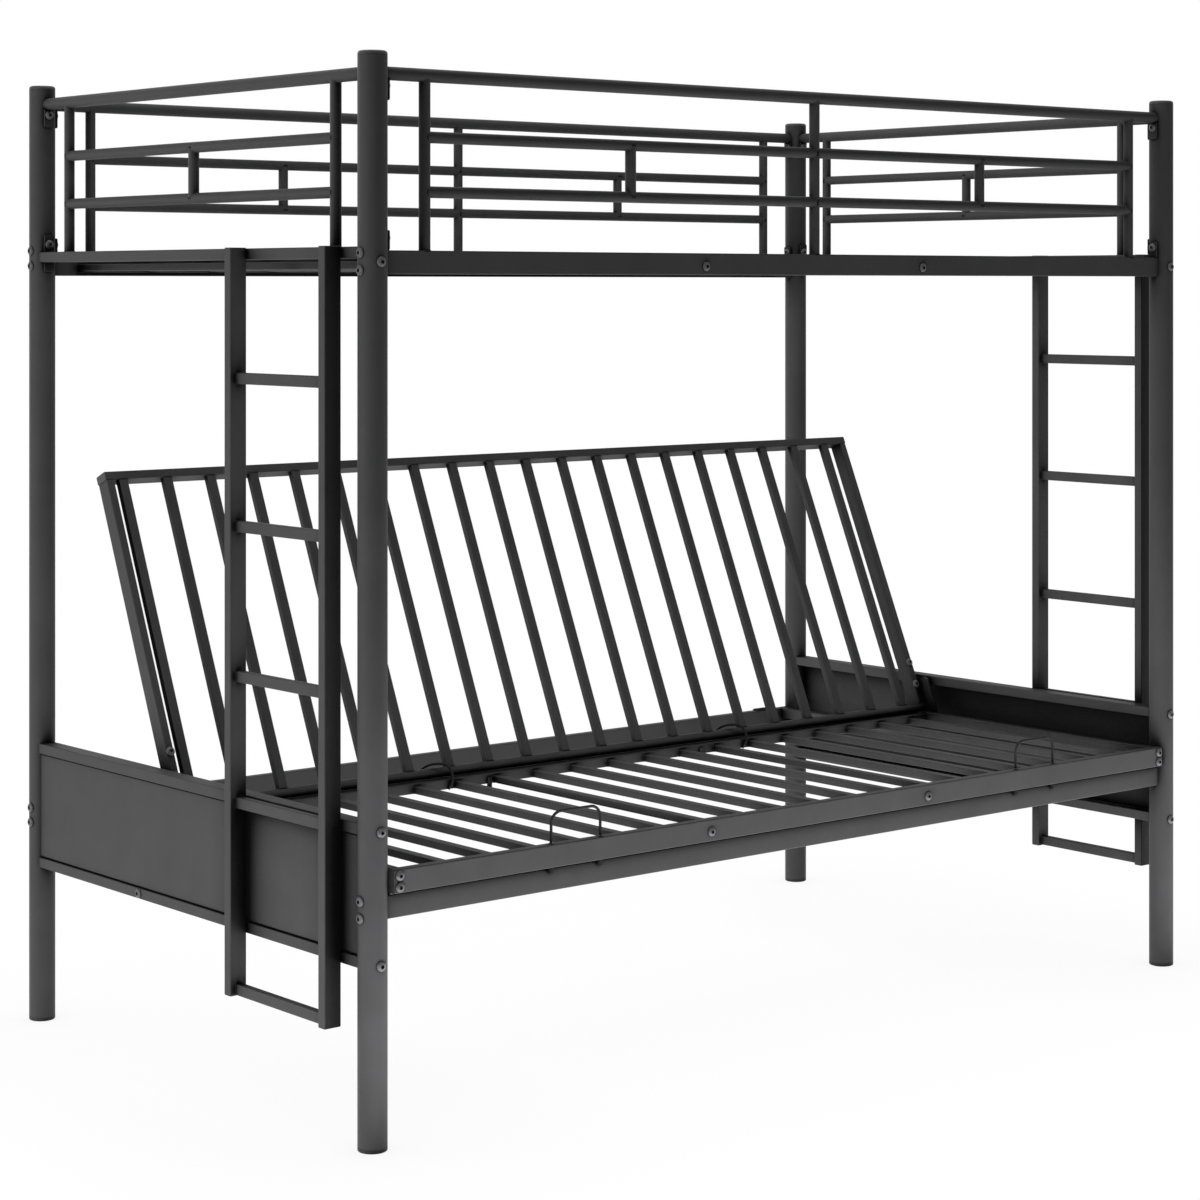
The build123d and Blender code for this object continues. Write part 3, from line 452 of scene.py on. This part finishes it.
def guard(length_way, offset, uprights, foot, half_span):
    """Shells of one guard in its own upright plane, at(run, height), along X or along Y."""

    def at(run, height):
        return (run, offset, height) if length_way == "x" else (offset, run, height)

    level = np.array((1.0, 0, 0) if length_way == "x" else (0, 1.0, 0))
    flat = (0, 1, 0) if length_way == "x" else (1, 0, 0)
    both, joint = (post_radius, post_radius), (guard_radius, guard_radius)
    ends = at(-half_span, guard_top), at(half_span, guard_top)
    shells = [welded_tube(guard_top_radius, *ends, both, upright, False)]
    for run in uprights:
        hosts = (0, guard_top_radius)
        shells.append(welded_tube(guard_radius, at(run, foot), at(run, guard_top), hosts, level))
    for first, last in zip(uprights, uprights[1:]):
        for height in guard_heights:
            shells.append(welded_tube(guard_radius, at(first, height), at(last, height), joint, upright))
        middle = (first + last) / 2
        stem = at(middle, guard_heights[1]), at(middle, guard_heights[0])
        shells.append(welded_tube(guard_radius, *stem, joint, level))
    for way in (-1, 1):
        plate_height = guard_top - guard_top_radius - guard_plate_drop
        centre = at(way * (half_span - plate_out + plate_thick / 2), plate_height)
        shells.append(plate(centre, flat, upright, plate_wide, guard_plate, plate_thick))
        place = at(way * (half_span - plate_out), guard_bolt_height)
        frame_bolts.append(bolt(place, tuple(-way * level), on_flat))
    return shells


for row, y in rows:
    outer = post_x - guard_inset
    shells = guard("x", y * post_y, (-outer, 0, outer), side_rail_top, post_x)
    piece(f"welded_guard_{row}", shells, powder_coat, "frame", f"guard_{row}")
for side, x in sides:
    outer = post_y - guard_inset
    shells = guard("y", x * post_x, (-outer, outer), end_rail_top, post_y)
    piece(f"welded_guard_{side}", shells, powder_coat, "frame", f"guard_{side}")


# Upper deck: 14 flat tube slats lying on folded angle ledges, which are welded along the side
# rails' inner faces, and two wider bars bolted between the rails.
def bent(points, bend, count=9):
    """Line of straight runs whose square corners are quarter circles of radius bend, each worked
    out from the corner and the directions of the two runs that meet there."""
    points = np.array(points, float)
    line = [points[:1]]
    for before, corner, after in zip(points, points[1:], points[2:]):
        back = (before - corner) / np.linalg.norm(before - corner)
        on = (after - corner) / np.linalg.norm(after - corner)
        turn = np.linspace(0, np.pi / 2, count)[:, None]
        line.append(corner + bend * (back + on) - bend * (on * np.cos(turn) + back * np.sin(turn)))
    return np.concatenate([*line, points[-1:]])


def folded(points, thick, bend):
    """Section of folded sheet: the bent middle line, moved out by half the thickness on one side
    and in on the other, as one loop."""
    line = bent(points, bend)
    step = np.diff(line, axis=0)
    step /= np.linalg.norm(step, axis=1)[:, None]
    way = np.concatenate([step[:1], step[:-1] + step[1:], step[-1:]])
    way /= np.linalg.norm(way, axis=1)[:, None]
    out = thick / 2 * np.stack([-way[:, 1], way[:, 0]], 1)
    return np.concatenate([line + out, (line - out)[::-1]])


slat_wide, slat_thin, slat_corner, slat_bead = 19.0, 12.7, 1.6, 0.9
ledge_thick, ledge_leg, ledge_drop, ledge_bend = 2.0, 20.0, 8.0, 1.8
ledge_end, deck_count = post_x - 70, 14
deck_reach = ledge_end - slat_wide / 2
inner_face = post_y - rail_thin / 2
ledge_top = deck_top - slat_thin
shells = []
for row, y in rows:
    face, half = inner_face - ledge_thick / 2, ledge_thick / 2
    route = [(face, ledge_top - ledge_drop), (face, ledge_top - half)]
    route.append((inner_face - ledge_leg, ledge_top - half))
    loop = folded(route, ledge_thick, ledge_bend)
    ends = np.full((len(loop), 1), ledge_end)
    shells.append(np.stack([np.hstack([way * ends, y * loop[:, :1], loop[:, 1:]]) for way in (-1, 1)]))
piece("folded_deck_ledges", shells, powder_coat, "frame", "deck_ledges")
middle = deck_top - slat_thin / 2
shells = []
for x in np.linspace(-deck_reach, deck_reach, deck_count):
    start, end = (x, -inner_face, middle), (x, inner_face, middle)
    shells.append(tube(slat_thin, slat_wide, slat_corner, start, end, upright, slat_bead))
piece("welded_deck_slats", shells, powder_coat, "frame", "deck_slats")
shells = []
for x in (-tie_place, tie_place):
    start, end = (x, -inner_face, middle), (x, inner_face, middle)
    shells.append(tube(slat_thin, end_wide, slat_corner, start, end, upright))
piece("bolted_deck_tie_bars", shells, powder_coat, "frame", "deck_tie_bars")

# Closed lower ends: two 32 x 19 mm rails bolted through the posts, and between them a sheet
# folded inward at top and bottom, tacked a little inside the rails' outer faces.
panel_top, panel_bottom, panel_bolt, panel_bolt_drop = 517.0, 287.0, 157.0, 1.5
sheet_thick, sheet_flange, sheet_back, sheet_bend = 1.2, 18.0, 2.7, 1.6
seam_low, seam_high = 1.5, 0.6
for side, x in sides:
    shells = []
    for middle in (panel_top - rail_thin / 2, panel_bottom + rail_thin / 2):
        start, end = (x * post_x, -post_y + cope, middle), (x * post_x, post_y - cope, middle)
        shells.append(tube(rail_thin, end_wide, rail_corner, start, end, upright))
        for row, y in rows:
            place = (x * post_x, y * (post_y + post_radius), middle - panel_bolt_drop)
            frame_bolts.append(bolt(place, (0, y, 0)))
    place = (x * (post_x + end_wide / 2), panel_bolt, panel_bottom + rail_thin / 2)
    frame_bolts.append(bolt(place, (x, 0, 0), on_flat))
    piece(f"panel_rails_{side}", shells, powder_coat, "frame", f"panel_frame_{side}")
    face = end_wide / 2 - sheet_back - sheet_thick / 2
    low = panel_bottom + rail_thin + seam_low + sheet_thick / 2
    high = panel_top - rail_thin - seam_high - sheet_thick / 2
    tip = face + sheet_thick / 2 - sheet_flange
    loop = folded([(tip, low), (face, low), (face, high), (tip, high)], sheet_thick, sheet_bend)
    ends = post_y - np.sqrt((post_radius + 0.1) ** 2 - loop[:, :1] ** 2)
    across = x * (post_x + loop[:, :1])
    shells = [np.stack([np.hstack([across, way * ends, loop[:, 1:]]) for way in (-1, 1)])]
    piece(f"folded_panel_sheet_{side}", shells, powder_coat, "frame", f"panel_sheet_{side}")

# Fixed lower rails: 38 x 19 mm tube from post to post under the futon, with two bolts into each
# end through the post.
lower_top, lower_bolt_drops = 402.0, (5.5, 32.5)
for row, y in rows:
    middle = lower_top - rail_wide / 2
    start, end = (-rail_reach, y * post_y, middle), (rail_reach, y * post_y, middle)
    shells = [tube(rail_wide, rail_thin, rail_corner, start, end, upright)]
    for side, x in sides:
        for drop in lower_bolt_drops:
            place = (x * (post_x + post_radius), y * post_y, lower_top - drop)
            frame_bolts.append(bolt(place, (x, 0, 0)))
    piece(f"bolted_lower_rail_{row}", shells, powder_coat, "frame", f"lower_rail_{row}")

# Ladders: two 32 x 19 mm stiles welded to the outer faces of the end rails, five flat rungs set
# back between them, and a moulded plug in each end of the stiles.
ladder_foot, ladder_centre, ladder_wide, rung_back = 187.0, -320.25, 295.5, 10.3
rung_tops = (1223.0, 976.5, 727.0, 517.0, 206.0)
stile_half = (ladder_wide - rail_thin) / 2
lid_thick, lid_inset, lid_corner, lid_soft = 1.2, 0.3, 2.4, 0.5
for side, x in sides:
    shells, lids = [], []
    stile_x = x * (post_x + end_wide)
    for y in (-1, 1):
        stile_y = ladder_centre + y * stile_half
        start, end = (stile_x, stile_y, ladder_foot), (stile_x, stile_y, end_rail_top)
        shells.append(tube(end_wide, rail_thin, rail_corner, start, end, (1, 0, 0)))
        size = (end_wide - lid_inset, rail_thin - lid_inset, lid_thick, lid_corner, lid_soft)
        for height in (end_rail_top + lid_thick / 2, ladder_foot - lid_thick / 2):
            lids.append(plate((stile_x, stile_y, height), (1, 0, 0), (0, 1, 0), *size))
    for top in rung_tops:
        rung_x = stile_x + x * (end_wide / 2 - rung_back - slat_thin / 2)
        rung_z = top - slat_wide / 2
        reach = stile_half - rail_thin / 2
        start, end = (rung_x, ladder_centre - reach, rung_z), (rung_x, ladder_centre + reach, rung_z)
        shells.append(tube(slat_wide, slat_thin, slat_corner, start, end, upright, slat_bead))
    piece(f"welded_ladder_{side}", shells, powder_coat, "frame", f"ladder_{side}")
    piece(f"moulded_ladder_plugs_{side}", lids, plug_plastic, "frame", f"ladder_plugs_{side}")

piece("frame_button_bolts", frame_bolts, bolt_steel, "frame", "frame_bolts")

# Runners: a folded angle along each end, from the front fixed rail to the rear one, welded on,
# which carries the sliding seat's side rail.
seat_clear = 3.0
seat_half = post_x - post_radius - seat_clear
runner_wide, runner_leg, runner_thick, runner_bend = 26.0, 22.0, 2.0, 1.8
for side, x in sides:
    half, inner = runner_thick / 2, seat_half - runner_wide + runner_thick / 2
    route = [(inner, lower_top - runner_leg), (inner, lower_top - half), (seat_half, lower_top - half)]
    loop = folded(route, runner_thick, runner_bend)
    ends = np.full((len(loop), 1), inner_face)
    shells = [np.stack([np.hstack([x * loop[:, :1], way * ends, loop[:, 1:]]) for way in (-1, 1)])]
    piece(f"folded_seat_runner_{side}", shells, powder_coat, "frame", f"seat_runner_{side}")

# Glides: strips of black nylon 6, moulded and snapped on, two on the front fixed rail and two
# under the seat, which slide and let the seat run.
# Natural nylon skin, slick, with dull scuffs about 4 mm long from the running.
nylon = bpy.data.materials.new("moulded_black_nylon")
nylon.use_nodes = True
tree = nylon.node_tree
tree.nodes.clear()
place = add(tree, "ShaderNodeTexCoord", {})
along = add(tree, "ShaderNodeMapping", {"Scale": (1.0, 0.3, 1.0)}, [(place, "Object", "Vector")])
scuff = add(tree, "ShaderNodeTexNoise", {"Scale": 800.0, "Detail": 4.0}, [(along, "Vector", "Vector")])
tone = add(tree, "ShaderNodeValToRGB", {}, [(scuff, "Fac", "Fac")])
tone.color_ramp.elements[0].position, tone.color_ramp.elements[0].color = 0.35, linear("#303031")
tone.color_ramp.elements[1].position, tone.color_ramp.elements[1].color = 0.7, linear("#3a3a3b")
slick_range = {"From Min": 0.3, "From Max": 0.7, "To Min": 0.3, "To Max": 0.45}
slick = add(tree, "ShaderNodeMapRange", slick_range, [(scuff, "Fac", "Value")])
skin_links = [(tone, "Color", "Base Color"), (slick, "Result", "Roughness")]
skin = add(tree, "ShaderNodeBsdfPrincipled", {"IOR": 1.53}, skin_links)
add(tree, "ShaderNodeOutputMaterial", {}, [(skin, 0, "Surface")])
glide_nylon = (nylon, "glide_nylon")

glide_thick, glide_long, glide_corner = 2.7, 60.0, 2.0
glide_x = seat_half - rail_thin / 2
seat_top, pivot_y, pivot_z, pivot_radius = 443.0, 101.5, 450.0, 9.5
seat_bottom, side_tube_rear = seat_top - rail_wide, pivot_y - pivot_radius - 1.0
front, rear = [], []
for side, x in sides:
    centre = (x * glide_x, -post_y, lower_top + glide_thick / 2)
    front.append(plate(centre, (1, 0, 0), (0, 1, 0), rail_thin, rail_thin, glide_thick, glide_corner))
    centre = (x * glide_x, side_tube_rear - glide_long / 2, seat_bottom - glide_thick / 2)
    rear.append(plate(centre, (1, 0, 0), (0, 1, 0), rail_thin, glide_long, glide_thick, glide_corner))
piece("moulded_front_glides", front, glide_nylon, "frame", "front_glides")
piece("moulded_rear_glides", rear, glide_nylon, "seat", "rear_glides")

# Rest pads: two moulded rubber pads with five ribs, glued on the rear fixed rail, on which the
# back comes to rest when it is let down.
# Black natural rubber: matt, with a faint grey bloom in patches about 7 mm across.
rubber = bpy.data.materials.new("moulded_black_rubber")
rubber.use_nodes = True
tree = rubber.node_tree
tree.nodes.clear()
place = add(tree, "ShaderNodeTexCoord", {})
bloom = add(tree, "ShaderNodeTexNoise", {"Scale": 150.0, "Detail": 3.0}, [(place, "Object", "Vector")])
tone = add(tree, "ShaderNodeValToRGB", {}, [(bloom, "Fac", "Fac")])
tone.color_ramp.elements[0].position, tone.color_ramp.elements[0].color = 0.3, linear("#1c1c1c")
tone.color_ramp.elements[1].position, tone.color_ramp.elements[1].color = 0.8, linear("#2a2a29")
matt_skin = {"Roughness": 0.8, "Specular IOR Level": 0.1}
pad_skin = add(tree, "ShaderNodeBsdfPrincipled", matt_skin, [(tone, "Color", "Base Color")])
add(tree, "ShaderNodeOutputMaterial", {}, [(pad_skin, 0, "Surface")])
pad_rubber = (rubber, "pad_rubber")

pad_long, pad_inset, pad_base = 40.0, 60.0, 2.4
rib_rise, rib_sunk, rib_wide, rib_pitch, rib_inset = 1.0, 0.2, 2.4, 3.6, 4.0
shells = []
for side, x in sides:
    middle = x * (seat_half - pad_inset - pad_long / 2)
    centre = (middle, post_y, lower_top + pad_base / 2)
    shells.append(plate(centre, (1, 0, 0), (0, 1, 0), pad_long, rail_thin, pad_base))
    for step in (-2, -1, 0, 1, 2):
        rib_middle = lower_top + pad_base + (rib_rise - rib_sunk) / 2
        centre, size = (middle, post_y + rib_pitch * step, rib_middle), (pad_long - rib_inset, rib_wide)
        shells.append(plate(centre, (1, 0, 0), (0, 1, 0), *size, rib_rise + rib_sunk, 1.1, 0.35))
piece("ribbed_rest_pads", shells, pad_rubber, "frame", "rest_pads")

# Futon seat: front and side rails in 38 x 19 mm tube, a flat rear rail, 20 flat slats welded
# between front and rear, and two straps with turned-up ends bolted in under the slats, all one
# frame that slides forward.
seat_front = -post_y - post_radius + 0.5
front_back = seat_front + rail_thin
rear_wide, rear_top, rear_offset = 38.0, 440.0, 6.6
rear_back = pivot_y + rear_wide / 2 - rear_offset
rear_front = rear_back - rear_wide
seat_middle = seat_top - rail_wide / 2
slat_drop, tie_tall, seat_bolt_half = 8.5, 25.0, 9.2
slat_top = seat_top - slat_drop
strap_wide, strap_thick, strap_bend, strap_clear = 10.0, 3.0, 4.0, 1.0
hinge_thick, hinge_bolt_inset, hinge_foot = 4.0, 14.0, 80.0
seat_bolts = []
rail_y = seat_front + rail_thin / 2
start, end = (-seat_half, rail_y, seat_middle), (seat_half, rail_y, seat_middle)
shells = [tube(rail_wide, rail_thin, rail_corner, start, end, upright)]
piece("seat_front_tube", shells, powder_coat, "seat", "seat_front_rail")
lids = []
for side, x in sides:
    size = (rail_thin - lid_inset, rail_wide - lid_inset, lid_thick, lid_corner, lid_soft)
    lids.append(plate((x * (seat_half + lid_thick / 2), rail_y, seat_middle), (0, 1, 0), upright, *size))
    for height in (seat_middle + seat_bolt_half, seat_middle - seat_bolt_half):
        seat_bolts.append(bolt((x * glide_x, seat_front, height), (0, -1, 0), on_flat))
    seat_bolts.append(bolt((x * tie_place, seat_front, slat_top - tie_tall / 2), (0, -1, 0), on_flat))
    start, end = (x * glide_x, front_back, seat_middle), (x * glide_x, side_tube_rear, seat_middle)
    shells = [tube(rail_wide, rail_thin, rail_corner, start, end, upright)]
    piece(f"seat_side_tube_{side}", shells, powder_coat, "seat", f"seat_side_rail_{side}")
    for inset in (hinge_foot - hinge_bolt_inset, hinge_bolt_inset):
        place = (x * (seat_half + hinge_thick), side_tube_rear - inset, seat_middle)
        seat_bolts.append(bolt(place, (x, 0, 0), on_flat))
piece("seat_rail_end_lids", lids, plug_plastic, "seat", "seat_rail_plugs")
inner, rear_y, rear_z = seat_half - rail_thin, (rear_front + rear_back) / 2, rear_top - rail_thin / 2
start, end = (-inner, rear_y, rear_z), (inner, rear_y, rear_z)
shells = [tube(rail_thin, rear_wide, rail_corner, start, end, upright)]
piece("seat_rear_tube", shells, powder_coat, "seat", "seat_rear_rail")
bar_count, bar_pitch, bar_shift = 20, 94.1, -14.5
bar_places = bar_shift + bar_pitch * (np.arange(bar_count) - (bar_count - 1) / 2)
middle = slat_top - slat_thin / 2
shells = []
for x in bar_places:
    start, end = (x, front_back, middle), (x, rear_front, middle)
    shells.append(tube(slat_thin, slat_wide, slat_corner, start, end, upright, slat_bead))
piece("welded_seat_slats", shells, powder_coat, "seat", "seat_slats")
strap_half = strap_thick / 2
near, far = front_back + strap_half, rear_front - strap_half
low, high = slat_top - tie_tall + strap_half, slat_top - strap_clear
loop = folded([(near, high), (near, low), (far, low), (far, high)], strap_thick, strap_bend)
shells = []
for x in (-tie_place, tie_place):
    edges = [np.full((len(loop), 1), x + way * strap_wide / 2) for way in (-1, 1)]
    shells.append(np.stack([np.hstack([edge, loop]) for edge in edges]))
piece("bolted_seat_straps", shells, powder_coat, "seat", "seat_tie_bars")
piece("seat_button_bolts", seat_bolts, bolt_steel, "seat", "seat_bolts", "hinge_bolts")

# Mattress hoops: 5 mm wire bent cold. Their feet pass down through the front rail, with a small
# collar on top and a black rubber cap pushed over each end below it.
# The wire gets a darker copy of the coat: painted shade that makes its tone deeper than the tubes'.
painted_shade_wire_coat = sprayed("satin_powder_coated_wire_painted_shade", "#2c2c2d", "#333334")
wire_radius = 2.5


def wire(line, normal):
    """Round wire along a line that lies in one plane: rings about each point, square to the mean
    of the two steps that meet there."""
    step = np.diff(line, axis=0)
    step /= np.linalg.norm(step, axis=1)[:, None]
    way = np.concatenate([step[:1], step[:-1] + step[1:], step[-1:]])
    way /= np.linalg.norm(way, axis=1)[:, None]
    normal = np.array(normal, float)
    angle = np.arange(12) * 2 * np.pi / 12
    outward = np.cross(way, normal)[:, None] * np.cos(angle)[:, None]
    return line[:, None] + wire_radius * (outward + normal * np.sin(angle)[:, None])


hoop_wide, hoop_rise, hoop_below, hoop_bend = 111.0, 55.0, 9.0, 20.0
hoop_half, hoop_places = hoop_wide / 2 - wire_radius, (-566.5, 573.5)
hoop_low, hoop_high = seat_bottom - hoop_below, seat_top + hoop_rise - wire_radius
collar_rows = [(3.4, 0.0), (4.2, 0.4), (4.2, 1.6), (3.0, 2.2), (2.6, 2.3)]
cap_rows = [(4.0, 0.0), (4.3, 0.4), (4.3, 8.9), (3.6, 10.1), (1.2, 10.5)]
hoops, collars, end_caps = [], [], []
for centre in hoop_places:
    left, right = centre - hoop_half, centre + hoop_half
    corners = [(left, rail_y, hoop_low), (left, rail_y, hoop_high)]
    corners += [(right, rail_y, hoop_high), (right, rail_y, hoop_low)]
    hoops.append(wire(bent(corners, hoop_bend), (0, 1, 0)))
    for x in (left, right):
        collars.append(turned(collar_rows, (x, rail_y, seat_top), upright, 20))
        end_caps.append(turned(cap_rows, (x, rail_y, seat_bottom), (0, 0, -1), 20))
piece("bent_wire_hoops", hoops, painted_shade_wire_coat, "seat", "mattress_hoops")
piece("pressed_hoop_collars", collars, bolt_steel, "seat")
piece("rubber_hoop_end_caps", end_caps, pad_rubber, "seat")

# Tube hooks: two more of the 5 mm wires, welded to the rear rail's front face, which bulge
# forward and then reach back over the hinge tube to hold it down. Each point of their line is a
# run along the hook and a height.
hook_line = [(-2, 421.5), (-6.3, 428.9), (-9.8, 436.5), (-10, 443.5), (-8.8, 451), (-5.5, 458.7)]
hook_line += [(0.3, 465)]
hook_line += [(6.4, 467.8), (14.7, 468.9), (24, 468.3), (33, 466.5), (41, 463.2), (48, 459), (53.4, 454.5)]


def eased(points, count=4):
    """Smooth line through points: between two of them, the cubic whose slope at each point is half
    the step from the point before it to the point after it."""
    points = np.array(points, float)
    slope = np.gradient(points, axis=0)
    t = np.arange(count)[:, None, None] / count
    a, b, p, q = points[:-1], points[1:], slope[:-1], slope[1:]
    line = (1 + 2 * t) * (1 - t) ** 2 * a + t * (1 - t) ** 2 * p
    line = line + t**2 * (3 - 2 * t) * b + t**2 * (t - 1) * q
    return np.concatenate([line.swapaxes(0, 1).reshape(-1, points.shape[1]), points[-1:]])


hook_places, hook_way = (-368.0, 382.0), np.array([-0.618, 0.786, 0.0])
run, height = eased(hook_line).T[:, :, None]
shells = []
for x in hook_places:
    line = np.array([x, rear_front, 0]) + run * hook_way + height * np.array(upright)
    shells.append(wire(line, np.cross(upright, hook_way)))
piece("bent_wire_tube_hooks", shells, painted_shade_wire_coat, "seat", "tube_hooks")


# Hinge plates: 4 mm steel, laser-cut, with an arc slot, bolted to the outside of the seat's side
# rails. The slot is deburred, so its edges catch a thin light.
def merged(node):
    """Copy of a node's mesh with its loose triangles joined: points within 0.01 mm become one, and
    neighbours that lie flat together become one face."""
    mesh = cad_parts[node].data.copy()
    work = bmesh.new()
    work.from_mesh(mesh)
    bmesh.ops.remove_doubles(work, verts=work.verts, dist=1e-5)
    bmesh.ops.dissolve_limit(work, angle_limit=0.01, verts=work.verts, edges=work.edges)
    work.to_mesh(mesh)
    work.free()
    return mesh


def softened(made, width):
    """Rounds a piece's sharp edges by a width in metres, before its normals are weighted."""
    edge = made.modifiers.new("softened_edges", "BEVEL")
    edge.width, edge.segments, edge.limit_method, edge.angle_limit = width, 2, "ANGLE", np.radians(40)
    made.modifiers.move(1, 0)


for side, x in sides:
    node = f"hinge_plate_{side}"
    softened(fitted(f"laser_cut_{node}", merged(node), powder_coat, "seat", node), 0.0005)

# Futon back: a welded frame that leans on its hinge, with a top rail and two side bars of
# 32 x 16 mm tube, a round tube along the hinge and 20 flat bars between.
lean = np.radians(23.75)
back_up = np.array([0.0, np.sin(lean), np.cos(lean)])
back_out = np.array([0.0, np.cos(lean), -np.sin(lean)])
back_long, back_thin, back_deep, back_face = 629.3, 16.0, 32.0, 6.85


def on_back(x, up, out):
    """Point on the back: from the hinge line, up its slope and out behind it."""
    return np.array([x, pivot_y, pivot_z]) + back_up * up + back_out * out


back_middle, back_half = back_deep / 2 - back_face, seat_half - 0.3
top_up, bar_top = back_long - back_thin / 2, back_long - back_thin
side_bar_foot, lug_bolt_ups, plate_clear, bar_sunk = 11.0, (51.0, 100.0), 0.6, 1.0
start, end = on_back(-back_half, top_up, back_middle), on_back(back_half, top_up, back_middle)
shells = [tube(back_thin, back_deep, rail_corner, start, end, back_up)]
piece("back_top_tube", shells, powder_coat, "back", "back_top_rail")
lids, back_bolts = [], []
for side, x in sides:
    size = (back_deep - lid_inset, back_thin - lid_inset, lid_thick, lid_corner, lid_soft)
    centre = on_back(x * (back_half + lid_thick / 2), top_up, back_middle)
    lids.append(plate(centre, back_out, back_up, *size))
    bar_x = x * (back_half - back_thin / 2)
    start, end = on_back(bar_x, side_bar_foot, back_middle), on_back(bar_x, bar_top, back_middle)
    shells = [tube(back_thin, back_deep, rail_corner, start, end, (1, 0, 0))]
    piece(f"back_side_tube_{side}", shells, powder_coat, "back", f"back_side_bar_{side}")
    for up in lug_bolt_ups:
        place = on_back(bar_x - x * plate_clear, up, -back_face)
        back_bolts.append(bolt(place, -back_out, on_flat))
piece("back_rail_end_lids", lids, plug_plastic, "back", "back_rail_plugs")
piece("back_button_bolts", back_bolts, bolt_steel, "back", "lug_bolts")
inner = back_half - back_thin
ends = on_back(-inner, 0, 0), on_back(inner, 0, 0)
shells = [welded_tube(pivot_radius, *ends, (0, 0), upright, False)]
piece("back_pivot_tube", shells, powder_coat, "back", "pivot_tube")
shells = []
for x in bar_places:
    start, end = on_back(x, pivot_radius - bar_sunk, 0), on_back(x, bar_top, 0)
    shells.append(tube(slat_wide, slat_thin, slat_corner, start, end, (1, 0, 0), slat_bead))
piece("welded_back_bars", shells, powder_coat, "back", "back_bars")

# Hinge lugs and pins: a cast steel lug pushed into each side bar's foot, with an eye on the
# shouldered pivot pin, and a second pin that runs in the plate's slot and stops the back.
for side, x in sides:
    node = f"hinge_lug_{side}"
    softened(fitted(f"cast_{node}", merged(node), powder_coat, "back", node), 0.0008)
pin_rows = [(3.6, -16.2), (4.0, -15.8), (4.0, 0.0), (8.2, 0.0), (8.5, 0.5), (8.3, 1.4)]
pin_rows += [(7.2, 2.4), (5.2, 3.1), (2.6, 3.5)]
head_clear, slot_reach = 0.3, 38.0
head_start = seat_half + hinge_thick + head_clear
for name, up, out in (("pivot", 0.0, 0.0), ("stop", slot_reach, back_middle)):
    shells = [turned(pin_rows, on_back(x * head_start, up, out), (x, 0, 0), 32) for side, x in sides]
    piece(f"shouldered_{name}_pins", shells, bolt_steel, "back", f"{name}_pins")
